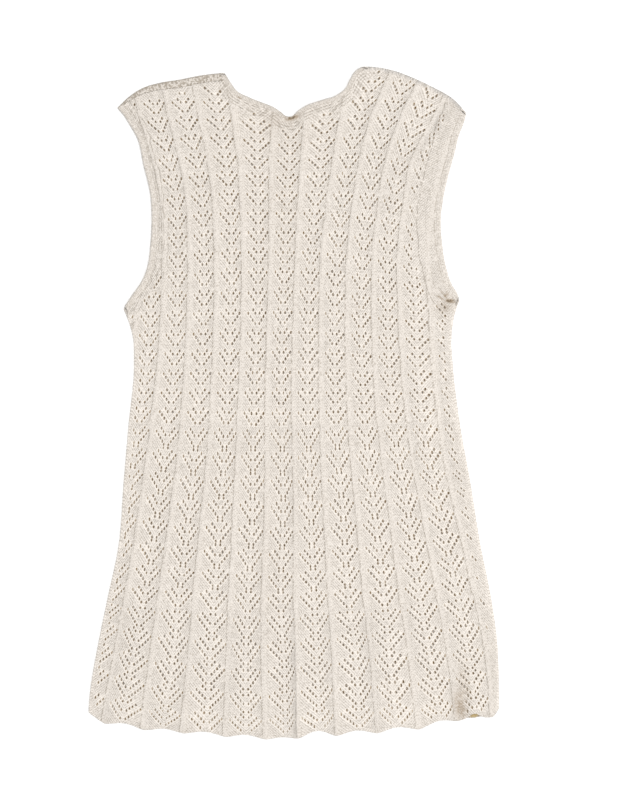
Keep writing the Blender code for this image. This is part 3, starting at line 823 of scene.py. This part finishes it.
        for corners in ([right[0], left[0], top_left, top, top_right],
                        [left[0], left[1], to_left, top_left],
                        [left[1], left[2], low_left, to_left],
                        [left[2], right[2], low_right, low, low_left],
                        [right[2], right[1], to_right, low_right],
                        [right[1], right[0], top_right, to_right]):
            self.add_face(corners, column, rows)
        # the yarn round the opening gets a painted highlight
        for point in left + right:
            self.hole[point] = -1.0


def is_open(stitch, lace_row, lace_rows):
    """Whether the chart has an opening there: on one of the nested chevrons, and within its arm."""
    inward = lace_rows - lace_row - abs(stitch)
    arm, between = divmod(inward, CHEVRON_STEP)
    arms = ARMS[lace_rows]
    return between == 0 and 0 <= arm < len(arms) and 1 <= abs(stitch) <= arms[arm]


# Relief

def hump(distance, half_width):
    """A smooth ridge of height 1."""
    return smooth_step(1 - np.abs(distance) / half_width)


def along_and_across(place, origin, direction):
    """How far points lie from an origin along a unit vector, and across it."""
    return (place - origin) @ direction, (place - origin) @ turned(direction[None], 1.0)[0]


def fold_heights(place):
    """Ridges and creases at points of the upper panel."""
    total = np.zeros(len(place))
    for top_x, top_y, end_x, end_y, height, half_width, fade in FOLDS:
        line = np.array([end_x - top_x, end_y - top_y], float)
        length = np.linalg.norm(line)
        along, across = along_and_across(place, (top_x, top_y), line / length)
        ends = smooth_step(along / fade) * smooth_step((length - along) / fade)
        total += height * np.exp(-(across / half_width) ** 2) * ends
    return total


def painted_shades(place, table=PAINTED_SHADES):
    """How strong the painted shade of the creases and folds is at points of the cloth."""
    dark = np.zeros(len(place))
    for x, y, half_length, half_width, angle, strength in table:
        direction = np.array([math.cos(math.radians(angle)), math.sin(math.radians(angle))])
        along, across = along_and_across(place, (x, y), direction)
        distance = (along / half_length) ** 2 + (across / half_width) ** 2
        dark = np.maximum(dark, strength * np.exp(-distance))
    return dark


def relief(cloth):
    """Height of the cloth's texture at its points."""
    place = np.array(cloth.place)
    rows, stitch, motif = (np.array(each) for each in (cloth.rows, cloth.stitch, cloth.motif))
    outward = np.abs(stitch) + (motif % 1.0) * rows - rows - 0.5
    from_rib = rows - np.abs(stitch)
    from_armhole = distance_to(place, armhole_path("right"))
    height = -RIB_DEPTH * hump(stitch - rows + RIB_INSET, RIB_WIDTH)
    middle, half_width = RIDGE_PLACE
    ridge = hump((outward % CHEVRON_STEP) - middle, half_width)
    height += RIDGE_HEIGHT * ridge * smooth_step(from_rib / RIDGE_FADE)
    height += LEAF_HEIGHT * smooth_step((outward - 1) / 2) * smooth_step(from_rib / LEAF_FADE)
    height *= smooth_step((from_armhole - RIB_END[0]) / (RIB_END[1] - RIB_END[0]))
    for length, turn, swing in WAVES:
        phase = (place[:, 0] * math.cos(turn) + place[:, 1] * math.sin(turn)) / length
        height += swing * np.sin(2 * math.pi * phase)
    hole = np.array(cloth.hole)
    height += np.where(hole > 0, -OPENING_LIP, -RIM_HEIGHT) * hole
    return height * np.array(cloth.calm)


def skirt_steps(kind, z, toward):
    """How an edge goes on from the flat cloth: distances outward and heights."""
    if kind == "side":
        seam = SEAM_LEVEL - toward * SEAM_GAP
        for step in range(1, EDGE_STEPS + 1):
            angle = math.pi / 2 * step / EDGE_STEPS
            yield EDGE_ROUND * math.sin(angle), z + (seam - z) * (1 - math.cos(angle))
    else:
        for out, drop in EDGE_PROFILES[kind]:
            yield out, z + toward * drop


def add_skirt(cloth, heights, toward):
    """Cloth from the cut outline on round the panel's edge."""
    open_sides = {}
    for corners in cloth.faces:
        for here, there in zip(corners, corners[1:] + corners[:1]):
            key = (min(here, there), max(here, there))
            open_sides[key] = None if key in open_sides else (here, there)
    sides = [pair for pair in open_sides.values()
             if pair and cloth.depth[pair[0]] == 0 == cloth.depth[pair[1]]]
    points = sorted({point for pair in sides for point in pair})
    place = np.array([cloth.place[point] for point in points])
    normals = cloth.region.outward(place)
    nearest = (cloth.region.measure(place)[1] - cloth.region.insets).argmin(1)
    rings = {}
    for number, point in enumerate(points):
        ring = [point]
        kind = cloth.region.kinds[nearest[number]]
        for out, z in skirt_steps(kind, heights[point], toward):
            there = place[number] + normals[number] * out
            ring.append(cloth.add_point(cloth.column[point], cloth.stitch[point], cloth.motif[point],
                                        cloth.rows[point], there))
            heights.append(z)
        rings[point] = ring
    for here, there in sides:
        for step in range(EDGE_STEPS):
            cloth.faces.append([rings[there][step], rings[here][step], rings[here][step + 1],
                                rings[there][step + 1]])
            cloth.face_column.append(min(cloth.column[here], cloth.column[there]))
            cloth.face_rows.append(cloth.rows[here])


# Objects

def add_mesh(name, points, faces):
    """A smooth object from points in millimetres."""
    mesh = bpy.data.meshes.new(name)
    mesh.from_pydata((np.array(points) * MM).tolist(), [], faces)
    mesh.update()
    mesh.shade_smooth()
    piece = bpy.data.objects.new(name, mesh)
    bpy.context.scene.collection.objects.link(piece)
    return piece


def add_values(piece, name, values, domain="POINT"):
    """Numbers or vectors at the points or face corners of a piece, for its material."""
    values = np.array(values, np.float32)
    kind, field = ("FLOAT", "value") if values.ndim == 1 else ("FLOAT_VECTOR", "vector")
    attribute = piece.data.attributes.new(name, kind, domain)
    attribute.data.foreach_set(field, values.ravel())


def knit_corners(cloth):
    """Stitch, motif and lace rows at every corner of every face."""
    return [(cloth.own_stitch(point, column, rows), cloth.motif[point], rows)
            for corners, column, rows in zip(cloth.faces, cloth.face_column, cloth.face_rows)
            for point in corners]


def turn_shades(region, place, away):
    """How strong the painted shade on the folded edges is, and where it is negative the painted light on
    them.
    """
    folded = [number for number, kind in enumerate(region.kinds) if kind == "side"]
    strength = np.where(place[:, 0] < 0, LEFT_TURN, RIGHT_TURN)
    strength = np.where(place[:, 1] > UNDERARM["right"][1], SHOULDER_TURN, strength)
    return smooth_step(1 - away[:, folded].min(1) / TURN_SHADE) * strength


def add_panel(name, laid, neckline, shows):
    """A whole panel: its lace, its relief and its edges."""
    cloth = Cloth(Region(neckline, shows), laid)
    height = relief(cloth)
    if shows:
        heights = BACK_LEVEL + np.maximum(height + fold_heights(np.array(cloth.place)), -DEEPEST)
    else:
        heights = np.maximum(FRONT_LEVEL - height * FRONT_RELIEF, 0.0)
    heights = heights.tolist()
    add_skirt(cloth, heights, -1.0 if shows else 1.0)
    if not shows:
        cloth.faces = [corners[::-1] for corners in cloth.faces]
    used = sorted({point for corners in cloth.faces for point in corners})
    index = {point: number for number, point in enumerate(used)}
    place = np.array(cloth.place)[used]
    points = np.column_stack([place, np.array(heights)[used]])
    piece = add_mesh(name, points, [[index[point] for point in corners] for corners in cloth.faces])
    away = cloth.region.measure(place)[1]
    add_values(piece, "knit", knit_corners(cloth), "CORNER")
    # shade: painted shade of the openings, and painted highlight on their rims where negative
    add_values(piece, "shade", np.array(cloth.hole)[used])
    # turn: painted shade on the folded edges, and painted light where it is negative
    add_values(piece, "turn", turn_shades(cloth.region, place, away))
    # painted shade of creases and folds; on the lower panel only the arch's painted shade, as negative values
    add_values(piece, "painted_shade", painted_shades(place) if shows else -painted_shades(place, [ARCH_PAINTED_SHADE]))
    add_values(piece, "away", away[:, [LEFT_ARMHOLE, RIGHT_ARMHOLE, NECK]])
    return piece


# Trims

def down_side(side):
    """Unit vector down the side seam, just below the underarm."""
    x, y = UNDERARM[side]
    below = y - 2 * ARMHOLE_TRIM
    return unit(np.array([float(side_x(side, below)) - x, below - y]))


def along_shoulder(side, from_neck):
    """Unit vector along the shoulder fold, from its tip or from the neck point."""
    shoulder = np.array(SHOULDERS[side], float)
    return unit(shoulder[-2] - shoulder[-1]) if from_neck else unit(shoulder[1] - shoulder[0])


def away_from_middle(direction, place):
    """The normal of an outer edge that points away from the middle of the dress."""
    normal = np.array([-direction[1], direction[0]])
    return normal if np.dot(normal, place - np.array(MIDDLE)) > 0 else -normal


def band(path, width, at_start, at_end):
    """Outer and inner edge of a band along a path. Its ends turn to lie on the folds there."""
    inset = ROLL_RADIUS + TRIM_THICKNESS
    for end, direction in ((0, at_start), (-1, at_end)):
        path[end] -= away_from_middle(direction, path[end]) * inset
    across = turned(unit(np.gradient(path, axis=0)), 1.0)
    if np.dot(across[len(path) // 2], at_start + at_end) < 0:
        across = -across
    t = np.linspace(0.0, 1.0, len(path))[:, None]
    start = smooth_step((TRIM_TURN - t) / TRIM_TURN)
    end = smooth_step((t - 1 + TRIM_TURN) / TRIM_TURN)
    across = across * (1 - start - end) + at_start * start + at_end * end
    return path, path + unit(across) * width


def trim_rings(upper, lower):
    """Rings of a closed band: outer point, inner point, how far it has turned, and where to."""
    rings = [(outer, inner, 0.0, np.zeros(2)) for outer, inner in zip(*upper)]
    folds = []
    for end in (-1, 0):
        outer, inner = upper[0][end], upper[1][end]
        normal = away_from_middle(unit(inner - outer), outer)
        turns = [math.pi * step / FOLD_STEPS for step in range(1, FOLD_STEPS)]
        folds.append([(outer, inner, turn, normal) for turn in turns])
    rings += folds[0]
    rings += [(outer, inner, math.pi, np.zeros(2)) for outer, inner in zip(lower[0][::-1], lower[1][::-1])]
    return rings + folds[1][::-1]


def quads(rings, lanes, closed):
    """Ring and lane at the corners of every face between rings of points."""
    for ring in range(rings):
        for lane in range(lanes):
            after = (lane + 1) % lanes if closed else lane + 1
            yield (ring, lane), (ring, after), (ring + 1, after), (ring + 1, lane)


def add_trim(name, upper, lower, section):
    """A trim: its section, given as share of its width and height, swept round its rings."""
    rings = trim_rings(upper, lower)
    places, lengths = [], [0.0]
    for number, (outer, inner, turn, normal) in enumerate(rings):
        if number:
            before = rings[number - 1]
            step = np.linalg.norm(outer - before[0]) + ROLL_RADIUS * abs(turn - before[2])
            lengths.append(lengths[-1] + step)
        for share, height in section:
            reach = ROLL_RADIUS + height
            flat = outer + (inner - outer) * share + normal * reach * math.sin(turn)
            places.append((*flat, max(MIDDLE_LEVEL + reach * math.cos(turn), 0.0)))
    lengths.append(lengths[-1] + PATH_STEP)
    faces, values = [], []
    for corners in quads(len(rings), len(section), True):
        faces.append([ring % len(rings) * len(section) + lane for ring, lane in corners])
        values += [(section[lane][0] * ARMHOLE_TRIM, lengths[ring], 0.0) for ring, lane in corners]
    piece = add_mesh(name, places, faces)
    add_values(piece, "knit", values, "CORNER")
    # painted shade of the creases that reach over the trim
    add_values(piece, "painted_shade", painted_shades(np.array(places)[:, :2]))
    return piece


def armhole_trim(side):
    edges = band(resample(armhole_path(side), TRIM_POINTS), ARMHOLE_TRIM, down_side(side),
                 along_shoulder(side, False))
    return add_trim(f"armhole_edging_{side}", edges, edges, ARMHOLE_SECTION)


def neck_trim():
    left, right = (along_shoulder(side, True) for side in ("left", "right"))
    halves = [band(resample(neckline, TRIM_POINTS), NECK_TRIM, left, right)
              for neckline in (BACK_NECKLINE, FRONT_NECKLINE)]
    return add_trim("neck_edging", *halves, NECK_SECTION)


def add_shoulder_strip():
    """The front panel's cloth that turns over the left shoulder, down to the seam on the back."""
    places = []
    rings = 0
    for edge, normal, width in zip(*strip_lines()):
        rings += 1
        turn_in = min(EDGE_ROUND, width * STRIP_FOLD)
        for step in range(STRIP_STEPS):
            angle = math.pi / 2 * step / (STRIP_STEPS - 1)
            inset = turn_in * (1 - math.cos(angle))
            rise = (BACK_LEVEL - SEAM_LEVEL) * math.sin(angle)
            places.append((*(edge - normal * inset), SEAM_LEVEL + rise))
        for share, height in STRIP_SECTION:
            inset = turn_in + (width - turn_in) * share
            places.append((*(edge - normal * inset), BACK_LEVEL + height))
    lanes = STRIP_STEPS + len(STRIP_SECTION)
    faces, values = [], []
    for corners in quads(rings - 1, lanes - 1, False):
        faces.append([ring * lanes + lane for ring, lane in corners])
        values += [(ring * PATH_STEP / STRIP_STITCH, lane * STRIP_LANE, 0.0) for ring, lane in corners]
    piece = add_mesh("shoulder_strip", places, faces)
    add_values(piece, "knit", values, "CORNER")
    return piece


# Materials

class Value:
    """A value in a material's node tree. Arithmetic with it adds nodes."""

    def __init__(self, tree, socket):
        self.tree, self.socket = tree, socket

    def math(self, operation, *others):
        node = self.tree.nodes.new("ShaderNodeMath")
        node.operation = operation
        for socket, value in zip(node.inputs, (self, *others)):
            put(socket, value)
        return Value(self.tree, node.outputs[0])

    def __add__(self, other):
        return self.math("ADD", other)

    def __sub__(self, other):
        return self.math("SUBTRACT", other)

    def __mul__(self, other):
        return self.math("MULTIPLY", other)

    def ramp(self, low, high):
        """0 at low, 1 at high, smooth between."""
        node = self.tree.nodes.new("ShaderNodeMapRange")
        node.interpolation_type = "SMOOTHSTEP"
        for name, value in (("Value", self), ("From Min", low), ("From Max", high)):
            put(node.inputs[name], value)
        return Value(self.tree, node.outputs["Result"])

    def line(self, at, half_width):
        """1 on a line where it has the given value."""
        return (self - at).math("ABSOLUTE").ramp(half_width, half_width * LINE_CORE)

    def parts(self):
        node = self.tree.nodes.new("ShaderNodeSeparateXYZ")
        put(node.inputs[0], self)
        return [Value(self.tree, socket) for socket in node.outputs]


def put(socket, value):
    """A constant or another node's value into a socket."""
    if isinstance(value, Value):
        value.tree.links.new(value.socket, socket)
    else:
        socket.default_value = value


class Nodes:
    """Short calls for the node tree of one material."""

    def __init__(self, name):
        self.material = bpy.data.materials.new(name)
        self.material.use_nodes = True
        self.tree = self.material.node_tree
        self.shader = self.tree.nodes["Principled BSDF"]

    def attribute(self, name, output="Fac"):
        node = self.tree.nodes.new("ShaderNodeAttribute")
        node.attribute_name = name
        return Value(self.tree, node.outputs[output])

    def object_place(self):
        return Value(self.tree, self.tree.nodes.new("ShaderNodeTexCoord").outputs["Object"])

    def noise(self, scale, detail):
        node = self.tree.nodes.new("ShaderNodeTexNoise")
        node.inputs["Scale"].default_value = scale
        node.inputs["Detail"].default_value = detail
        put(node.inputs["Vector"], self.object_place())
        return Value(self.tree, node.outputs["Fac"])

    def pattern(self, name):
        scale, detail, low, high = PATTERNS[name]
        return self.noise(scale, detail).ramp(low, high)

    def mix(self, share, first, second):
        node = self.tree.nodes.new("ShaderNodeMix")
        node.data_type = "RGBA"
        put(node.inputs["Factor"], share)
        for socket, colour in ((node.inputs[6], first), (node.inputs[7], second)):
            put(socket, colour if isinstance(colour, Value) else (*colour, 1.0))
        return Value(self.tree, node.outputs[2])

    def layers(self, colour, *layers):
        """A colour with others laid over it in turn, each as strongly as its share says."""
        for share, over in layers:
            colour = self.mix(share, colour, over)
        return colour

    def bump(self, height, distance):
        node = self.tree.nodes.new("ShaderNodeBump")
        node.inputs["Strength"].default_value = 1.0
        node.inputs["Distance"].default_value = distance
        put(node.inputs["Height"], height)
        return Value(self.tree, node.outputs["Normal"])


def yarn_finish(nodes, colour, height, depth):
    """The matt, slightly fuzzy surface that all the knitting has."""
    put(nodes.shader.inputs["Base Color"], colour)
    put(nodes.shader.inputs["Normal"], nodes.bump(height, depth * MM))
    for name, value in YARN_SURFACE.items():
        nodes.shader.inputs[name].default_value = value
    return nodes.material


def stitch_height(stitch, knitted):
    """Two slanted legs a stitch, one row above the other."""
    across = ((stitch + 100.5).math("FRACT") - 0.5).math("ABSOLUTE")
    leg = ((across - 0.25) * (4 * math.pi)).math("COSINE")
    loop = ((knitted + across * LEG_SLANT) * (2 * math.pi)).math("SINE")
    return loop * STITCH_WAVES[0] + leg * STITCH_WAVES[1]


def yarn_colour(nodes):
    """Cream yarn: uneven from place to place, and speckled stitch by stitch. With its fuzz."""
    fuzz = nodes.pattern("fuzz")
    colour = nodes.mix(nodes.pattern("mottle") * 0.2 + 0.8, YARN_SHADE, YARN)
    colour = nodes.layers(colour, (fuzz * COVER["fuzz"], YARN_LIGHT),
                          (nodes.pattern("speckle") * COVER["speckle"], YARN_DARK))
    return colour, fuzz


def with_painted_shade(nodes, colour):
    """The colour with the painted shade of its creases and folds: grey-brown, darkest in the middle of the
    deepest ones, and golden under the arch.
    """
    painted_shade = nodes.attribute("painted_shade") * (nodes.pattern("creases") * 0.6 + 0.6)
    return nodes.layers(colour, (painted_shade.ramp(0.0, 1.0), YARN_TAN_PAINTED_SHADE),
                        (painted_shade.ramp(0.7, 1.4) * COVER["crease"], CREASE_PAINTED_SHADE),
                        (painted_shade.ramp(-0.2, -0.9), YARN_GOLD_PAINTED_SHADE))


def shoulder_material():
    """The rougher knitting of the shoulder strip: crowded stitches with painted shade in their hollows, and
    darker towards the fold with painted shade.
    """
    nodes = Nodes("shoulder_knit")
    along, across, _ = nodes.attribute("knit", "Vector").parts()
    colour, fuzz = yarn_colour(nodes)
    rough = nodes.pattern("strip_rough")
    loops = (nodes.noise(*WAVERS["strip"]) * 5.0 + along * 4.0).math("SINE")
    height = loops * 0.25 + rough
    # after its darker tone: painted shade in the hollows of the loops and towards the fold
    colour = nodes.layers(colour, (COVER["strip"], YARN_SHADE),
                          (height.ramp(0.75, 0.15) * COVER["strip_hollow"], YARN_DARK),
                          (across.ramp(2.1, 0.6) * (rough * 0.6 + 0.4), YARN_DARK))
    return yarn_finish(nodes, colour, fuzz * 0.2 + height, STRIP_BUMP_DEPTH)


def lace_material():
    """The lace: stitches along the arms of its chevrons, painted shade in its hollows, sunk lines, slits and
    openings, and painted highlights on its rims and threads.
    """
    nodes = Nodes("lace_knit")
    stitch, motif, rows = nodes.attribute("knit", "Vector").parts()
    shade, turn = nodes.attribute("shade"), nodes.attribute("turn")
    away = dict(zip(("left", "right", "neck"), nodes.attribute("away", "Vector").parts()))
    broken = nodes.pattern("broken")
    kept = away["right"].ramp(*RIB_END)
    side = stitch.math("ABSOLUTE")
    outward = side + (motif + 10.0).math("FRACT") * rows - (rows + 0.5)
    from_rib = rows - side
    # Stitch columns run along the arms of the chevrons, and straight down only by the ribs
    slanted = (outward * (2 * math.pi)).math("COSINE") * from_rib.ramp(0.3, 1.6) * (broken * 0.7 + 0.3)
    knitted = motif * rows * 2.0
    stitches = stitch_height(stitch, knitted)
    # Lines of sunk stitches, painted darker as shade: the ribs, and those along the edges
    drift = nodes.noise(*WAVERS["rib"]) - 0.5
    knots = (knitted * math.pi).math("SINE") * 0.3 + 0.7
    groove = (rows - stitch + drift).line(RIB_INSET, LINE_WIDTHS["rib"]) * broken * knots * kept
    waver = nodes.noise(*WAVERS["edge"]) - 0.5
    for edge, lines in EDGE_LINES.items():
        for distance, amount, strength in lines:
            line = (waver * amount + away[edge]).line(distance, LINE_WIDTHS["edge"])
            groove = groove.math("MAXIMUM", line * strength * broken)
    hollow = (slanted + stitches * 0.8).ramp(0.1, -1.0)
    # Painted highlight on the threads between the openings of an arm, and painted shade in the slits that run
    # on between them higher up
    threads = outward.math("PINGPONG", CHEVRON_STEP / 2).line(1.0, LINE_WIDTHS["thread"])
    threads = threads * outward.ramp(1.7, 1.2) * from_rib.ramp(1.0, 2.0) * kept * nodes.pattern("threads")
    slits = outward.line(0.0, LINE_WIDTHS["slit"]) * from_rib.ramp(0.8, 1.6)
    slits = slits * nodes.object_place().parts()[1].ramp(*SLIT_HEIGHTS) * kept * broken
    colour, fuzz = yarn_colour(nodes)
    colour = nodes.layers(
        colour,
        # painted shade in the hollows of the stitches and in the sunk lines
        (hollow * COVER["hollow"], YARN_DARK),
        (groove * COVER["groove"], YARN_DARK),
        # painted shade on the folded edges, mottled; then painted light where turn is negative
        (turn.math("MAXIMUM", 0.0) * (nodes.pattern("fold") * 0.7 + 0.3), YARN_PAINTED_EDGE_SHADE),
        ((turn * -1.0).math("MAXIMUM", 0.0), YARN_LIGHT),
        # painted highlight on the yarn round the openings
        (shade.ramp(-0.3, -0.9) * COVER["rim"], YARN_LIGHT),
        (threads * COVER["threads"], YARN_LIGHT),
        (slits * COVER["slits"], YARN_DARK),
        # painted shade on the lips of the openings: warm at their edge, dark further in
        (shade.ramp(0.01, 0.1) * COVER["opening"], YARN_WARM_PAINTED_SHADE),
        (shade.ramp(0.05, 0.6), HOLE_PAINTED_SHADE))
    height = slanted * 0.25 + stitches * 0.25 - groove * 0.5 + fuzz * 0.15
    return yarn_finish(nodes, with_painted_shade(nodes, colour), height, BUMP_DEPTH)


def trim_material(name, painted_edge):
    """Knitting across the lace's, with painted shade in its hollows and in a broken line of sunk stitches
    near its inner edge, and its outer edge painted in the given colour: shade on the left armhole's and the
    neck's trims, light on the right armhole's.
    """
    nodes = Nodes(name)
    across, along, _ = nodes.attribute("knit", "Vector").parts()
    rough = nodes.pattern("trim_rough")
    stitches = (along * (2 * math.pi / TRIM_STITCH)).math("SINE")
    lanes = (across * (2 * math.pi / TRIM_LANE)).math("COSINE")
    # painted shade in the hollows between stitches and lanes, and in the sunk line
    hollow = (stitches + lanes).ramp(0.2, -1.2) * rough
    inner = across.line(TRIM_LINE, LINE_WIDTHS["trim"]) * nodes.pattern("trim_line")
    colour, fuzz = yarn_colour(nodes)
    colour = nodes.layers(
        colour,
        (nodes.pattern("trim_worn") * COVER["trim_worn"], YARN_SHADE),
        (hollow * COVER["trim_hollow"], YARN_DARK),
        (inner * COVER["trim_line"], YARN_DARK),
        # the outer edge: painted shade, and on the right armhole's trim painted light
        (across.ramp(2.5, 0.0) * COVER["trim_edge"], painted_edge))
    height = stitches * 0.2 + lanes * 0.12 + fuzz * 0.15 + rough * 0.3
    return yarn_finish(nodes, with_painted_shade(nodes, colour), height, BUMP_DEPTH)


# Stage

def add_camera():
    """Straight above the dress, with the floor from top to bottom as high as VIEW_HEIGHT."""
    camera = bpy.data.objects.new("camera", bpy.data.cameras.new("camera"))
    bpy.context.scene.collection.objects.link(camera)
    camera.data.lens = FOCAL_LENGTH
    camera.data.sensor_width = SENSOR
    camera.data.sensor_fit = "VERTICAL"
    camera.data.sensor_height = SENSOR
    distance = VIEW_HEIGHT * MM * FOCAL_LENGTH / SENSOR
    camera.location = (CAMERA_PLACE[0] * MM, CAMERA_PLACE[1] * MM, distance)
    bpy.context.scene.camera = camera


def add_area_light(name, place, size, power, colour):
    light = bpy.data.lights.new(name, "AREA")
    light.energy = power
    light.size = size
    light.color = colour
    lamp = bpy.data.objects.new(name, light)
    bpy.context.scene.collection.objects.link(lamp)
    lamp.location = place
    lamp.rotation_euler = Vector(place).to_track_quat("Z", "Y").to_euler()


def add_floor():
    """A pale floor that reaches beyond the picture."""
    corners = [(x * FLOOR_HALF, y * FLOOR_HALF, 0) for x, y in ((-1, -1), (1, -1), (1, 1), (-1, 1))]
    floor = add_mesh("floor", corners, [(0, 1, 2, 3)])
    floor.location.z = FLOOR_LEVEL * MM
    nodes = Nodes("floor")
    nodes.shader.inputs["Base Color"].default_value = FLOOR_COLOUR
    nodes.shader.inputs["Roughness"].default_value = FLOOR_ROUGHNESS
    floor.data.materials.append(nodes.material)
    return floor


def add_world():
    world = bpy.data.worlds.new("world")
    bpy.context.scene.world = world
    world.use_nodes = True
    background = world.node_tree.nodes["Background"]
    background.inputs["Color"].default_value = (1.0, 1.0, 1.0, 1.0)
    background.inputs["Strength"].default_value = WORLD_LIGHT


def dress():
    """All pieces, with their materials and what they say to the frame."""
    lace, shoulder = lace_material(), shoulder_material()
    # painted shade along the outer edge of the left armhole's and the neck's trims, painted light along the
    # right armhole's
    rib, painted_light_rib = trim_material("rib_trim", YARN_PAINTED_EDGE_SHADE), trim_material("painted_light_rib_trim", YARN_LIGHT)
    floor = add_floor()
    laid = LaidRows()
    back = add_panel("back_lace", laid, BACK_NECKLINE, True)
    front = add_panel("front_lace", laid, FRONT_NECKLINE, False)
    strip = add_shoulder_strip()
    edgings = {side: armhole_trim(side) for side in ("left", "right")}
    edgings["neck"] = neck_trim()
    for piece, node, slot, material in (
            (back, "back_panel", "lace_knit", lace), (front, "front_panel", "lace_knit", lace),
            (strip, "front_panel", "lace_knit", shoulder),
            (edgings["left"], "armhole_trim_left", "rib_trim", rib),
            (edgings["right"], "armhole_trim_right", "rib_trim", painted_light_rib),
            (edgings["neck"], "neck_trim", "rib_trim", rib)):
        piece.data.materials.append(material)
        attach(piece, "root")
        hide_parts(node)


bpy.context.scene.view_settings.view_transform = "Standard"
dress()
add_camera()
add_world()
for light in LIGHTS:
    add_area_light(*light)
